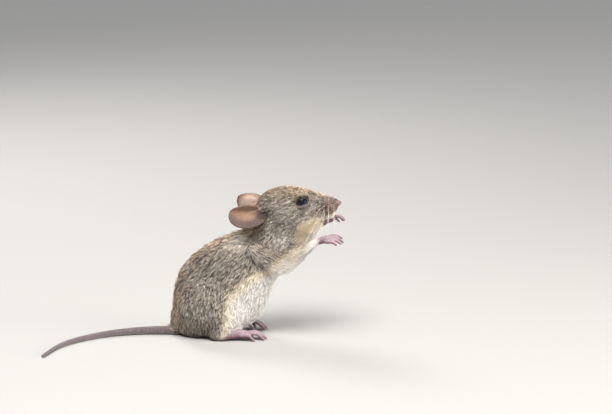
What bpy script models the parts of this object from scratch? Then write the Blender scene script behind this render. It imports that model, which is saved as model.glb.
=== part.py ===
"""A young field mouse, life size, sitting up on its haunches with both forepaws raised.

The flesh is one smooth form, out to the tips of the coat: lofted sections for the trunk and head, tapered
limbs and rounded muscles, joined by a voxel remesh. Thin cuts then part it where a person would name
its parts. Ears, eyes, nose, paws, feet and tail are shaped on their own and end just short of that form.

Frame: +X is forward, toward the nose, +Z is up, the floor is z = 0 and the animal's right side is -Y. Places
are written in millimetres from a point on the floor under the root of the thighs, and the finished model is
shifted so that its origin is the bottom centre of its box.
"""

import math

import bmesh
import bpy
from mathutils import Matrix, Vector

MM = 0.001

# Driving dimensions, in millimetres.
GAP = 0.3
TAIL_LENGTH = 77.0
TAIL_ROOT_RADIUS = 1.9
TAIL_TIP_RADIUS = 0.5
TAIL_TAPER = 0.85
EAR_LENGTH = 14.0
EAR_HEIGHT = 10.0
EAR_WALL = 0.62
EAR_CUP = 2.2
EAR_FLARE = math.radians(20.0)
EAR_RISE = 0.06
EAR_TIP_DROOP = 1.2
EAR_TAPER = 0.08
RIM_START = 0.55
RIM_FOLD = 0.5
RIM_CURL = 2.2
EYE_RADIUS = 2.35
EYE_OPENING = (2.25, 1.25)
EYE_DEPTH = 2.6
EYE_SLANT = math.radians(22.0)
EYE_CORNER = 0.35
EYE_FORWARD = math.radians(10.0)
FINGER_RADII = (0.81, 0.66, 0.54)
TOE_RADII = (0.9, 0.72, 0.6)
HEAD_YAW = math.radians(-9.0)
HEAD_PIVOT = (13.0, 0.0)

# How far the cuts around the jaw and legs stand off their own forms.
JAW_MARGIN = 0.4
FORELEG_MARGIN = 0.7
HIND_LEG_MARGIN = 0.5

# How fine the meshes are.
RING_SIDES = 32
RINGS_PER_SPAN = 4
FLESH_VOXEL = 0.7
FILLET_VOXEL = 1.1
FILLET_SMOOTHING = 24
FLESH_SMOOTHING = 6
PAW_SMOOTHING = 2
PAW_VOXEL = 0.24
FLESH_TRIANGLES = 6400
PART_TRIANGLES = {
    "head": 1000,
    "neck": 480,
    "chest": 820,
    "hindquarters": 1080,
    "lower_jaw": 160,
    "foreleg": 500,
    "hind_leg": 480,
    "hind_foot": 600,
    "forepaw": 460,
    "ear": 340,
}
REGION_TRIANGLES = 360
PAW_TRIANGLES = 1200
BALL_SEGMENTS = 16
LID_SIDES = 16
DIGIT_SIDES = 10
RINGS_PER_DIGIT_SPAN = 3
TAIL_SIDES = 10
TAIL_RINGS = 11
TAIL_SINK = 0.97
ROUTE_STEPS = 24
CREASE = math.radians(50.0)
WELD = 0.002
CUT_TOLERANCE = 0.001
EAR_GRID = (11, 9)

# Trunk sections from the seat to the throat: back (x, z), belly (x, z), half width, and how much wider the
# belly side is than the back side.
TRUNK = (
    ((-15.8, 0.4), (-4.0, -1.6), 5.4, 0.0),
    ((-19.5, 4.0), (5.0, 0.9), 8.8, 0.05),
    ((-18.7, 10.4), (13.4, 6.2), 9.8, 0.08),
    ((-17.9, 18.2), (17.2, 12.6), 10.0, 0.10),
    ((-14.6, 26.8), (19.2, 18.2), 9.7, 0.10),
    ((-7.4, 33.6), (21.4, 22.4), 9.0, 0.06),
    ((1.0, 37.9), (25.0, 26.8), 8.0, 0.0),
    ((8.4, 40.8), (29.4, 32.2), 6.9, -0.05),
    ((12.6, 45.4), (32.6, 37.0), 6.0, -0.05),
    ((17.4, 49.0), (34.4, 41.0), 5.0, 0.0),
)

# Head sections from the nape to the nose: crown (x, z), throat (x, z), half width, widening at the cheeks.
HEAD = (
    ((12.0, 48.8), (15.0, 41.6), 3.4, 0.0),
    ((14.2, 52.8), (17.4, 39.6), 5.7, 0.05),
    ((18.2, 55.7), (21.4, 38.8), 6.8, 0.08),
    ((23.6, 57.1), (26.6, 39.0), 6.9, 0.14),
    ((29.0, 56.8), (31.6, 40.2), 6.0, 0.16),
    ((33.8, 55.5), (35.8, 42.6), 4.6, 0.16),
    ((38.1, 54.2), (38.9, 45.1), 3.4, 0.14),
    ((41.2, 53.5), (41.2, 47.0), 2.8, 0.08),
    ((43.2, 52.6), (42.9, 48.1), 2.3, 0.0),
    ((44.2, 51.9), (43.8, 49.3), 1.7, 0.0),
)

# Head muscles: centre (x, y, z) on the left side, radii (x, y, z).
CHEEK = ((24.5, 4.2, 44.2), (6.0, 3.4, 4.6))
BROW = ((30.4, 3.7, 51.8), (4.6, 2.6, 3.2))
WHISKER_PAD = ((40.0, 1.9, 49.3), (3.1, 1.9, 2.1))
JAW = ((38.2, 0.0, 46.1), (4.5, 2.0, 1.6))

EYE = (30.8, 4.2, 51.9)
NOSE = ((43.7, 0.0, 51.1), (1.1, 1.45, 1.15))

# Ears: the middle of each and how far it leans out, its upper edge staying near the head.
EAR_RIGHT = ((11.2, -9.0, 47.0), math.radians(40.0))
EAR_LEFT = ((10.3, 8.2, 48.0), math.radians(16.0))

# Hind leg on the left side: the haunch, the knee and the shank down to the heel.
HAUNCH = ((-5.6, 6.2, 12.2), (11.2, 5.4, 11.2))
KNEE = ((2.4, 7.2, 8.8), (6.8, 3.9, 6.8))
SHANK = (((3.0, 8.6, 7.4), 3.4), ((0.6, 9.0, 4.6), 3.0), ((-2.0, 9.1, 2.8), 2.5))

# Forelegs: shoulder, elbow, mid forearm and wrist, each with its radius.
FORELEG_RIGHT = (
    ((13.0, -4.8, 33.2), 4.2),
    ((18.0, -6.4, 29.4), 4.2),
    ((22.6, -7.0, 27.4), 3.6),
    ((27.8, -8.2, 31.4), 2.8),
    ((32.0, -9.4, 35.2), 2.0),
    ((34.8, -10.2, 37.4), 1.55),
)
FORELEG_LEFT = (
    ((13.0, 4.8, 33.2), 4.2),
    ((18.4, 6.2, 30.2), 4.2),
    ((24.0, 6.8, 29.0), 3.6),
    ((30.0, 6.7, 34.0), 2.8),
    ((34.4, 6.2, 38.8), 2.0),
    ((37.0, 5.6, 41.2), 1.55),
)

# Forepaws: the palm from wrist to knuckles, then each digit's knuckle, middle joint and tip.
PALM_RIGHT = (((34.4, -10.1, 37.2), 1.4), ((37.0, -10.5, 38.4), 1.5), ((39.2, -10.9, 38.7), 1.6))
DIGITS_RIGHT = (
    ((39.0, -9.6, 39.2), (41.8, -9.0, 39.8), (44.4, -9.0, 38.8)),
    ((39.6, -10.5, 39.1), (42.6, -10.5, 39.2), (44.8, -10.7, 37.6)),
    ((39.4, -11.5, 38.6), (42.2, -11.9, 38.5), (44.0, -12.2, 37.3)),
    ((38.6, -12.1, 38.0), (40.8, -12.8, 38.0), (42.4, -13.3, 37.1)),
)
PALM_LEFT = (((36.6, 5.7, 40.8), 1.4), ((38.8, 5.2, 42.4), 1.5), ((40.8, 4.7, 43.4), 1.6))
DIGITS_LEFT = (
    ((40.6, 3.5, 43.9), (42.9, 2.7, 44.5), (45.0, 2.5, 43.4)),
    ((41.2, 4.3, 43.9), (43.8, 4.0, 44.3), (45.6, 4.0, 42.8)),
    ((41.2, 5.2, 43.6), (43.6, 5.5, 43.8), (45.1, 5.7, 42.2)),
    ((40.4, 6.0, 43.1), (42.2, 6.8, 42.9), (43.6, 7.1, 41.5)),
)

# Hind foot on the right side: heel, instep and ball, then each toe's root, middle joint and tip.
INSTEP = (
    ((-2.6, -9.6, 1.5), 1.7),
    ((1.6, -9.6, 2.3), 1.9),
    ((5.8, -9.0, 2.6), 1.8),
    ((8.8, -8.4, 2.1), 1.6),
)
TOES = (
    ((7.2, -7.1, 2.0), (9.4, -6.3, 2.2), (11.4, -5.9, 0.45)),
    ((9.2, -7.4, 2.3), (12.6, -6.6, 2.7), (15.6, -6.0, 0.45)),
    ((9.6, -8.4, 2.4), (13.2, -7.9, 2.8), (16.4, -7.5, 0.45)),
    ((9.2, -9.4, 2.2), (12.6, -9.3, 2.6), (15.6, -9.2, 0.45)),
    ((7.4, -10.2, 1.9), (9.8, -10.7, 2.2), (12.0, -10.9, 0.45)),
)

# The tail's way over the floor from inside the rump, and the share of its length where each part ends.
TAIL_ROUTE = (
    (-13.0, 0.0),
    (-20.0, -0.2),
    (-30.0, -0.4),
    (-41.0, -3.4),
    (-51.0, -10.0),
    (-58.5, -19.0),
    (-63.5, -33.0),
)
TAIL_PARTS = (("tail_root", 0.38), ("tail_middle", 0.7), ("tail_tip", 1.0))

# Planes of the thin cuts through the flesh: a point (x, z) and the direction (x, z) of the front side.
NECK_FRONT = ((21.0, 44.3), (0.55, 0.835))
NECK_BACK = ((18.0, 38.0), (0.60, 0.80))
CHEST_BACK = ((4.0, 27.5), (0.72, 0.69))

SIDES = {"left": 1, "right": -1}
PIECES = "field_mouse"
GUIDES = "construction"

# Finishes, by the start of a part's name: linear colour and roughness.
FUR = (0.17, 0.13, 0.095)
PALE_FUR = (0.62, 0.57, 0.50)
BARE_SKIN = (0.55, 0.36, 0.34)
FINISHES = {
    "head": (FUR, 0.85),
    "neck": (FUR, 0.85),
    "hindquarters": (FUR, 0.85),
    "hind_leg": (FUR, 0.85),
    "chest": (PALE_FUR, 0.85),
    "foreleg": (PALE_FUR, 0.85),
    "lower_jaw": (PALE_FUR, 0.85),
    "forepaw": (BARE_SKIN, 0.5),
    "hind_foot": (BARE_SKIN, 0.5),
    "nose": ((0.30, 0.15, 0.14), 0.35),
    "ear": ((0.30, 0.19, 0.15), 0.6),
    "eye": ((0.008, 0.008, 0.010), 0.05),
    "tail": ((0.16, 0.13, 0.13), 0.65),
}


def clear_scene():
    """Removes every object that the file starts with."""
    for obj in list(bpy.data.objects):
        bpy.data.objects.remove(obj, do_unlink=True)


def make_collection(name):
    """A new collection under the scene's own."""
    collection = bpy.data.collections.new(name)
    bpy.context.scene.collection.children.link(collection)
    return collection


def add_object(name, mesh, collection):
    """A new object for a mesh, in one of the two collections."""
    obj = bpy.data.objects.new(name, mesh)
    bpy.data.collections[collection].objects.link(obj)
    return obj


def to_mesh(form, name):
    """Ends a bmesh and returns its mesh."""
    mesh = bpy.data.meshes.new(name)
    form.to_mesh(mesh)
    form.free()
    return mesh


def modified(mesh, *settings):
    """The mesh after a stack of modifiers, each given as its type and a dictionary of its values."""
    obj = add_object("shaping", mesh, GUIDES)
    for kind, values in settings:
        modifier = obj.modifiers.new(kind.lower(), kind)
        for key, value in values.items():
            setattr(modifier, key, value)
    depsgraph = bpy.context.evaluated_depsgraph_get()
    result = bpy.data.meshes.new_from_object(obj.evaluated_get(depsgraph))
    bpy.data.objects.remove(obj, do_unlink=True)
    return result


def combined(mesh, other, operation):
    """The mesh after a Boolean with another mesh."""
    guide = add_object("cutter", other, GUIDES)
    guide.hide_render = True
    guide.display_type = "WIRE"
    values = {"object": guide, "operation": operation, "solver": "EXACT"}
    result = modified(mesh, ("BOOLEAN", values))
    bpy.data.objects.remove(guide, do_unlink=True)
    return largest_body(result)


def largest_body(mesh):
    """Deletes the slivers that a cut leaves beside the main body."""
    form = bmesh.new()
    form.from_mesh(mesh)
    bmesh.ops.remove_doubles(form, verts=form.verts, dist=WELD * MM)
    bodies = []
    unseen = set(form.verts)
    while unseen:
        stack = [unseen.pop()]
        body = set(stack)
        while stack:
            for edge in stack.pop().link_edges:
                for vert in edge.verts:
                    if vert in unseen:
                        unseen.remove(vert)
                        body.add(vert)
                        stack.append(vert)
        bodies.append(body)
    main = max(bodies, key=len)
    bmesh.ops.delete(form, geom=[v for v in form.verts if v not in main], context="VERTS")
    form.to_mesh(mesh)
    form.free()
    return mesh


def grown(mesh, distance):
    """The mesh with its surface moved outward, in millimetres."""
    values = {"strength": distance * MM, "mid_level": 0.0, "direction": "NORMAL"}
    return modified(mesh.copy(), ("DISPLACE", values))


def flattened(row):
    """A row of numbers and points as one list of numbers."""
    numbers = []
    for part in row:
        numbers.extend(part if isinstance(part, tuple) else (part,))
    return numbers


def catmull_rom(a, b, c, d, t):
    """The value a share t of the way from b to c, on the smooth curve through a, b, c and d."""
    bend = (2 * a - 5 * b + 4 * c - d) * t**2
    twist = (3 * b - a - 3 * c + d) * t**3
    return 0.5 * (2 * b + (c - a) * t + bend + twist)


def eased(rows, steps):
    """Rows of numbers with Catmull-Rom rows worked out between them."""
    flat = [flattened(row) for row in rows]
    lead_in = [2 * a - b for a, b in zip(flat[0], flat[1])]
    lead_out = [2 * a - b for a, b in zip(flat[-1], flat[-2])]
    line = [lead_in] + flat + [lead_out]
    result = []
    for i in range(1, len(line) - 2):
        columns = list(zip(*line[i - 1 : i + 3]))
        for step in range(steps):
            result.append([catmull_rom(*column, step / steps) for column in columns])
    result.append(flat[-1])
    return result


def add_ring(form, sides, radius, place, ends):
    """One ring of a loft, closed by a cap at the loft's two ends. Returns its vertices and edges."""
    made = bmesh.ops.create_circle(form, cap_ends=ends, segments=sides, radius=radius, matrix=place)
    edges = {edge for vert in made["verts"] for edge in vert.link_edges}
    return made["verts"], list(edges)


def bridge(form, rings):
    """Joins a row of rings into one tube."""
    for first, second in zip(rings, rings[1:]):
        bmesh.ops.bridge_loops(form, edges=first + second)


def add_sections(form, rows):
    """Lofts the sections of the trunk or head, each an oval across the animal between two points."""
    line = eased(rows, RINGS_PER_SPAN)
    rings = []
    for i, (top_x, top_z, low_x, low_z, half_width, pear) in enumerate(line):
        centre = Vector((top_x + low_x, 0.0, top_z + low_z)) / 2
        up = Vector((top_x - low_x, 0.0, top_z - low_z)) / 2
        verts, edges = add_ring(form, RING_SIDES, 1.0, Matrix(), i in (0, len(line) - 1))
        for vert in verts:
            across, along = vert.co.x, vert.co.y
            side = Vector((0.0, across * half_width * (1 - pear * along), 0.0))
            vert.co = (centre + up * along + side) * MM
        rings.append(edges)
    bridge(form, rings)


def add_limb(form, rows, sides=RING_SIDES // 2, steps=RINGS_PER_SPAN):
    """Lofts a round limb along its centre line, each row a point and a radius."""
    line = eased(rows, steps)
    rings = []
    for i, row in enumerate(line):
        before, after = line[max(i - 1, 0)], line[min(i + 1, len(line) - 1)]
        heading = Vector(after[:3]) - Vector(before[:3])
        turn = heading.to_track_quat("Z", "Y").to_matrix().to_4x4()
        place = Matrix.Translation(Vector(row[:3]) * MM) @ turn
        rings.append(add_ring(form, sides, row[3] * MM, place, i in (0, len(line) - 1))[1])
    bridge(form, rings)
    for row in (rows[0], rows[-1]):
        add_ball(form, row[0], (row[1], row[1], row[1]), sides)


def add_ball(form, centre, radii, segments=RING_SIDES):
    """A ball or egg, with radii along x, y and z."""
    place = Matrix.Translation(Vector(centre) * MM) @ Matrix.Diagonal((*(r * MM for r in radii), 1.0))
    bmesh.ops.create_uvsphere(form, u_segments=segments, v_segments=segments // 2, radius=1.0, matrix=place)


def mirrored(place, side):
    """A place given for the left side, moved to the side asked for: 1 is left, -1 is right."""
    return (place[0], place[1] * side, place[2])


def turn_head(form):
    """Turns the head's forms about the neck, toward the animal's right."""
    pivot = Vector((*HEAD_PIVOT, 0.0)) * MM
    turn = Matrix.Translation(pivot) @ Matrix.Rotation(HEAD_YAW, 4, "Z") @ Matrix.Translation(-pivot)
    bmesh.ops.transform(form, matrix=turn, verts=form.verts)


def closed_skin(form, voxel, smooth, triangles):
    """One smooth skin around overlapping forms, thinned to a number of triangles."""
    bmesh.ops.recalc_face_normals(form, faces=form.faces)
    mesh = to_mesh(form, "forms")
    mesh = modified(
        mesh,
        ("REMESH", {"mode": "VOXEL", "voxel_size": voxel * MM}),
        ("SMOOTH", {"factor": 0.5, "iterations": smooth}),
        ("TRIANGULATE", {}),
    )
    ratio = min(triangles / len(mesh.polygons), 1.0)
    return modified(mesh, ("DECIMATE", {"ratio": ratio}), ("TRIANGULATE", {}))


def above_floor(mesh):
    """Cuts the mesh off flat at the floor."""
    return sliced(mesh, (0.0, 0.0), (0.0, 1.0))


def sliced(mesh, point, facing, offset=0.0):
    """Keeps what lies on the side that the direction faces, past a plane across the animal."""
    normal = Vector((facing[0], 0.0, facing[1])).normalized()
    place = (Vector((point[0], 0.0, point[1])) + normal * offset) * MM
    form = bmesh.new()
    form.from_mesh(mesh)
    everything = form.verts[:] + form.edges[:] + form.faces[:]
    cut = bmesh.ops.bisect_plane(
        form,
        geom=everything,
        dist=CUT_TOLERANCE * MM,
        plane_co=place,
        plane_no=normal,
        clear_inner=True,
    )
    rim = [e for e in cut["geom_cut"] if isinstance(e, bmesh.types.BMEdge)]
    bmesh.ops.holes_fill(form, edges=rim, sides=0)
    bmesh.ops.triangulate(form, faces=form.faces[:])
    bmesh.ops.recalc_face_normals(form, faces=form.faces)
    return largest_body(to_mesh(form, "slice"))


def trunk_forms():
    """The trunk and neck."""
    form = bmesh.new()
    add_sections(form, TRUNK)
    return form


def head_forms():
    """The skull, cheeks, brows, whisker pads and jaw, turned with the head."""
    form = bmesh.new()
    add_sections(form, HEAD)
    for centre, radii in (CHEEK, BROW, WHISKER_PAD):
        for side in (1, -1):
            add_ball(form, mirrored(centre, side), radii)
    add_ball(form, *JAW)
    turn_head(form)
    return form


def hind_leg_forms(side, grow=0.0):
    """The haunch, knee and shank of one side."""
    form = bmesh.new()
    for centre, radii in (HAUNCH, KNEE):
        add_ball(form, mirrored(centre, side), [r + grow for r in radii])
    add_limb(form, [(mirrored(place, side), radius + grow) for place, radius in SHANK])
    return form


def foreleg_forms(side, grow=0.0):
    """One foreleg from shoulder to wrist."""
    form = bmesh.new()
    rows = FORELEG_LEFT if side > 0 else FORELEG_RIGHT
    add_limb(form, [(place, radius + grow) for place, radius in rows])
    return form


def jaw_forms(grow):
    """The lower jaw, turned with the head."""
    form = bmesh.new()
    add_ball(form, JAW[0], [r + grow for r in JAW[1]])
    turn_head(form)
    return form


def gathered(*forms):
    """Several bmesh forms as one."""
    whole = bmesh.new()
    for form in forms:
        whole.from_mesh(to_mesh(form, "form"))
    return whole


def parted(flesh, form):
    """Takes the part inside a region out of the flesh. Returns what is left, then the part."""
    region = closed_skin(form, 2 * FLESH_VOXEL, 1, REGION_TRIANGLES)
    part = combined(flesh.copy(), region.copy(), "INTERSECT")
    rest = combined(flesh, grown(region, GAP), "DIFFERENCE")
    return rest, part


def split(flesh, plane):
    """Parts the flesh with a thin plane cut. Returns the front piece, then the back piece."""
    point, facing = plane
    back = sliced(flesh.copy(), point, (-facing[0], -facing[1]), GAP / 2)
    return sliced(flesh, point, facing, GAP / 2), back


def flesh_forms():
    """All the overlapping forms of the flesh."""
    return gathered(
        trunk_forms(),
        head_forms(),
        hind_leg_forms(1),
        hind_leg_forms(-1),
        foreleg_forms(1),
        foreleg_forms(-1),
    )


def build_flesh():
    """The whole animal's flesh, closed, flat where it sits, with soft hollows where the forms meet."""
    fillets = closed_skin(flesh_forms(), FILLET_VOXEL, FILLET_SMOOTHING, 4 * FLESH_TRIANGLES)
    forms = flesh_forms()
    forms.from_mesh(fillets)
    return above_floor(closed_skin(forms, FLESH_VOXEL, FLESH_SMOOTHING, FLESH_TRIANGLES))


def build_ear(place, lean, side):
    """A cupped ear shell, its upper rim curled over."""
    centre = Vector(place)
    length = Vector((math.cos(EAR_FLARE), -side * math.sin(EAR_FLARE), EAR_RISE)).normalized()
    height = Vector((0.0, -side * math.sin(lean), math.cos(lean)))
    height = (height - length * height.dot(length)).normalized()
    outward = length.cross(height) * -side
    form = bmesh.new()
    bmesh.ops.create_grid(form, x_segments=EAR_GRID[0], y_segments=EAR_GRID[1], size=1.0)
    for vert in form.verts:
        x, y = vert.co.x, vert.co.y
        along, across = x * math.sqrt(1 - y * y / 2), y * math.sqrt(1 - x * x / 2)
        depth = -EAR_CUP * (1 - along * along - across * across) - EAR_TIP_DROOP * max(along, 0.0) ** 3
        curl = max(across - RIM_START, 0.0)
        vert.co = centre + length * (along * EAR_LENGTH / 2)
        vert.co += height * ((across - RIM_FOLD * curl) * (1 - EAR_TAPER * along) * EAR_HEIGHT / 2)
        vert.co += outward * (depth + RIM_CURL * curl)
        vert.co *= MM
    turn_head(form)
    values = {"thickness": EAR_WALL * MM, "offset": 0.0, "use_even_offset": True}
    return modified(to_mesh(form, "ear"), ("SOLIDIFY", values), ("TRIANGULATE", {}))


def lid_opening(side, grow=0.0):
    """The slanted opening between the lids, as a short bar through the front of the eye."""
    form = bmesh.new()
    depth = 2.0 * EYE_DEPTH * MM
    bmesh.ops.create_cone(form, cap_ends=True, segments=LID_SIDES, radius1=1.0, radius2=1.0, depth=depth)
    for vert in form.verts:
        pointed = vert.co.y * abs(vert.co.y) ** EYE_CORNER
        vert.co.x *= (EYE_OPENING[0] + grow) * MM
        vert.co.y = pointed * (EYE_OPENING[1] + grow) * MM
    turn = Matrix.Rotation(-side * EYE_FORWARD, 4, "Z") @ Matrix.Rotation(math.pi / 2, 4, "X")
    slant = Matrix.Rotation(-EYE_SLANT, 4, "Y")
    surface = Vector(mirrored(EYE, side)) + Vector((0.0, side * EYE_RADIUS, 0.0))
    place = Matrix.Translation(surface * MM)
    bmesh.ops.transform(form, matrix=place @ slant @ turn, verts=form.verts)
    turn_head(form)
    bmesh.ops.recalc_face_normals(form, faces=form.faces)
    return to_mesh(form, "opening")


def build_eye(side):
    """The part of an eyeball that shows between the lids, turned with the head."""
    form = bmesh.new()
    add_ball(form, mirrored(EYE, side), [EYE_RADIUS] * 3, BALL_SEGMENTS)
    turn_head(form)
    bmesh.ops.triangulate(form, faces=form.faces[:])
    return combined(to_mesh(form, "eye"), lid_opening(side), "INTERSECT")


def build_nose():
    """The bare nose pad."""
    form = bmesh.new()
    add_ball(form, *NOSE, BALL_SEGMENTS)
    turn_head(form)
    bmesh.ops.triangulate(form, faces=form.faces[:])
    return to_mesh(form, "nose")


def build_forepaw(palm, digits):
    """A forepaw: the palm and its digits, one skin around them."""
    form = bmesh.new()
    add_limb(form, palm)
    for digit in digits:
        add_limb(form, list(zip(digit, FINGER_RADII)), DIGIT_SIDES, RINGS_PER_DIGIT_SPAN)
    return closed_skin(form, PAW_VOXEL, PAW_SMOOTHING, PAW_TRIANGLES)


def build_hind_foot(side):
    """A long hind foot and its toes, flat on the floor."""
    form = bmesh.new()
    add_limb(form, [(mirrored(place, -side), radius) for place, radius in INSTEP])
    for toe in TOES:
        rows = [(mirrored(place, -side), radius) for place, radius in zip(toe, TOE_RADII)]
        add_limb(form, rows, DIGIT_SIDES, RINGS_PER_DIGIT_SPAN)
    return above_floor(closed_skin(form, PAW_VOXEL, PAW_SMOOTHING, PAW_TRIANGLES))


def tail_point(way):
    """The tail's centre line on the floor, a distance along its route: its place and heading."""
    travelled = 0.0
    route = [Vector(row) for row in eased(TAIL_ROUTE, ROUTE_STEPS)]
    for before, after in zip(route, route[1:]):
        step = (after - before).length
        if travelled + step >= way:
            return before + (after - before) * (way - travelled) / step, (after - before) / step
        travelled += step
    return route[-1], (route[-1] - route[-2]).normalized()


def build_tail(start, end):
    """One length of the tail, between two distances along its way, lying on the floor."""
    form = bmesh.new()
    rings = []
    for i in range(TAIL_RINGS):
        way = start + (end - start) * i / (TAIL_RINGS - 1)
        (x, y), heading = tail_point(way)
        share = way / TAIL_LENGTH
        radius = TAIL_ROOT_RADIUS + (TAIL_TIP_RADIUS - TAIL_ROOT_RADIUS) * share**TAIL_TAPER
        turn = heading.to_3d().to_track_quat("Z", "Y").to_matrix().to_4x4()
        place = Matrix.Translation(Vector((x, y, TAIL_SINK * radius)) * MM) @ turn
        rings.append(add_ring(form, TAIL_SIDES, radius * MM, place, i in (0, TAIL_RINGS - 1))[1])
    bridge(form, rings)
    bmesh.ops.recalc_face_normals(form, faces=form.faces)
    return above_floor(to_mesh(form, "tail"))


def thinned(mesh, name):
    """The mesh with the crowded triangles along its cuts taken out, down to its part's own number."""
    wanted = PART_TRIANGLES.get(name.removesuffix("_left").removesuffix("_right"))
    mesh.calc_loop_triangles()
    if wanted is None or wanted >= len(mesh.loop_triangles):
        return mesh
    ratio = wanted / len(mesh.loop_triangles)
    steps = (("TRIANGULATE", {}), ("DECIMATE", {"ratio": ratio}), ("TRIANGULATE", {}))
    return above_floor(modified(mesh, *steps))


def build_ends(clearance):
    """Ears, paws, feet, eyes, nose and the root of the tail, ending just short of the flesh."""
    ends = {
        "ear_left": build_ear(*EAR_LEFT, 1),
        "ear_right": build_ear(*EAR_RIGHT, -1),
        "forepaw_left": build_forepaw(PALM_LEFT, DIGITS_LEFT),
        "forepaw_right": build_forepaw(PALM_RIGHT, DIGITS_RIGHT),
        "hind_foot_left": build_hind_foot(1),
        "hind_foot_right": build_hind_foot(-1),
        "nose": build_nose(),
        "tail_root": build_tail(0.0, TAIL_PARTS[0][1] * TAIL_LENGTH - GAP / 2),
    }
    ends = {name: combined(mesh, clearance.copy(), "DIFFERENCE") for name, mesh in ends.items()}
    for (_, start), (name, end) in zip(TAIL_PARTS, TAIL_PARTS[1:]):
        ends[name] = build_tail(start * TAIL_LENGTH + GAP / 2, end * TAIL_LENGTH - GAP / 2)
    return ends


def build_body(flesh):
    """The flesh parted into the jaw, legs, head, neck, chest and hindquarters, with the eyes let in."""
    parts = {}
    for name, side in SIDES.items():
        parts["eye_" + name] = build_eye(side)
        flesh = combined(flesh, lid_opening(side, GAP), "DIFFERENCE")
    flesh, parts["lower_jaw"] = parted(flesh, jaw_forms(JAW_MARGIN))
    for name, side in SIDES.items():
        flesh, parts["foreleg_" + name] = parted(flesh, foreleg_forms(side, FORELEG_MARGIN))
        flesh, parts["hind_leg_" + name] = parted(flesh, hind_leg_forms(side, HIND_LEG_MARGIN))
    parts["head"], flesh = split(flesh, NECK_FRONT)
    parts["neck"], flesh = split(flesh, NECK_BACK)
    parts["chest"], parts["hindquarters"] = split(flesh, CHEST_BACK)
    return parts


def finish(name, mesh):
    """Gives a part's mesh its own material."""
    kind = next(kind for kind in FINISHES if name.startswith(kind))
    colour, roughness = FINISHES[kind]
    material = bpy.data.materials.new(name + "_finish")
    material.use_nodes = True
    shader = material.node_tree.nodes["Principled BSDF"]
    shader.inputs["Base Color"].default_value = (*colour, 1.0)
    shader.inputs["Roughness"].default_value = roughness
    shader.inputs["Metallic"].default_value = 0.0
    mesh.materials.clear()
    mesh.materials.append(material)


def centred(parts):
    """Moves every part so that the origin is the bottom centre of the whole box."""
    points = [vert.co for mesh in parts.values() for vert in mesh.vertices]
    low = Vector(min(point[axis] for point in points) for axis in range(3))
    high = Vector(max(point[axis] for point in points) for axis in range(3))
    shift = Matrix.Translation((-(low.x + high.x) / 2, -(low.y + high.y) / 2, -low.z))
    for mesh in parts.values():
        mesh.transform(shift)


def main():
    """Builds every part and places it."""
    clear_scene()
    make_collection(PIECES)
    make_collection(GUIDES)
    flesh = build_flesh()
    parts = build_ends(grown(flesh, GAP))
    parts.update(build_body(flesh))
    parts = {name: thinned(mesh, name) for name, mesh in parts.items()}
    centred(parts)
    for name, mesh in sorted(parts.items()):
        finish(name, mesh)
        mesh.shade_smooth()
        mesh.set_sharp_from_angle(angle=CREASE)
        add_object(name, mesh, PIECES)


main()
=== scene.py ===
"""Looks of a young field mouse, life size, sitting up on its haunches with both forepaws raised.

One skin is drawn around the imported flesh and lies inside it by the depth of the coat. It carries the face,
ears, paws and tail. Over it lies the coat: closed tufts in joined meshes, laid along the body. Eyes, lid
rims, claws and whiskers are pieces of their own. Lengths are written in millimetres, and MM turns them
into metres.
"""

import logging
import math
from dataclasses import dataclass, field
from enum import Enum
from itertools import product

import bmesh
import bpy
import numpy as np
from mathutils import Matrix, Vector, noise
from mathutils.bvhtree import BVHTree
from mathutils.kdtree import KDTree

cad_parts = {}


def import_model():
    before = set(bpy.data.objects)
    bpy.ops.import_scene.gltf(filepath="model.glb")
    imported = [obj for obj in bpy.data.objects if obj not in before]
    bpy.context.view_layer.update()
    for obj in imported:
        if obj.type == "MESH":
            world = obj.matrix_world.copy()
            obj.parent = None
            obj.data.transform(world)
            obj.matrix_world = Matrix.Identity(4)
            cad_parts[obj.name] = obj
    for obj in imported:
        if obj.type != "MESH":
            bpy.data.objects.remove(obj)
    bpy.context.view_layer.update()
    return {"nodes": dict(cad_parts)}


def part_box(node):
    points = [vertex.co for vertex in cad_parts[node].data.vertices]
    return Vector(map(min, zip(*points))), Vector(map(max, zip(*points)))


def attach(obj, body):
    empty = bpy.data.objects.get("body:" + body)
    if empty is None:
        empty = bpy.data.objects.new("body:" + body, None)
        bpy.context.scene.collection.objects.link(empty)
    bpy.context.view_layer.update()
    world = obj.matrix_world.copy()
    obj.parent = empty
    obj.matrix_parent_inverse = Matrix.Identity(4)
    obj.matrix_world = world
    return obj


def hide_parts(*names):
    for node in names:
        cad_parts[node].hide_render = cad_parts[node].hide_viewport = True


MM = 0.001
SEED = 20
FAR = 1e9
TINY = 1e-12
SIDE_ON = np.array((1.0, 0.0, 1.0))
ACROSS = np.array((0.0, 1.0, 0.0))
Array = np.ndarray
Triple = tuple[float, float, float]
Colour = Triple
Tree = bpy.types.ShaderNodeTree
Socket = bpy.types.NodeSocket
MOST_TRIANGLES = 199_000
LOG = logging.getLogger("field_mouse")


class Side(Enum):
    """The animal's left and right sides."""

    LEFT = 1
    RIGHT = -1

    @property
    def label(self) -> str:
        """The side as it ends a part's name."""
        return self.name.lower()


def at(node: str, x: float, y: float, z: float) -> Vector:
    """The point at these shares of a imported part's box."""
    low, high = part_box(node)
    return Vector((low.x + (high.x - low.x) * x, low.y + (high.y - low.y) * y, low.z + (high.z - low.z) * z))


def turned(start: Vector, onto: Vector, angle: float) -> Vector:
    """One direction turned by an angle toward another that is square to it."""
    return start * math.cos(angle) + onto * math.sin(angle)


def smooth_step(value: Array, low: float, high: float) -> Array:
    """Rises softly from 0 at low to 1 at high."""
    share = np.clip((value - low) / (high - low), 0.0, 1.0)
    return share * share * (3.0 - 2.0 * share)


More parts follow.
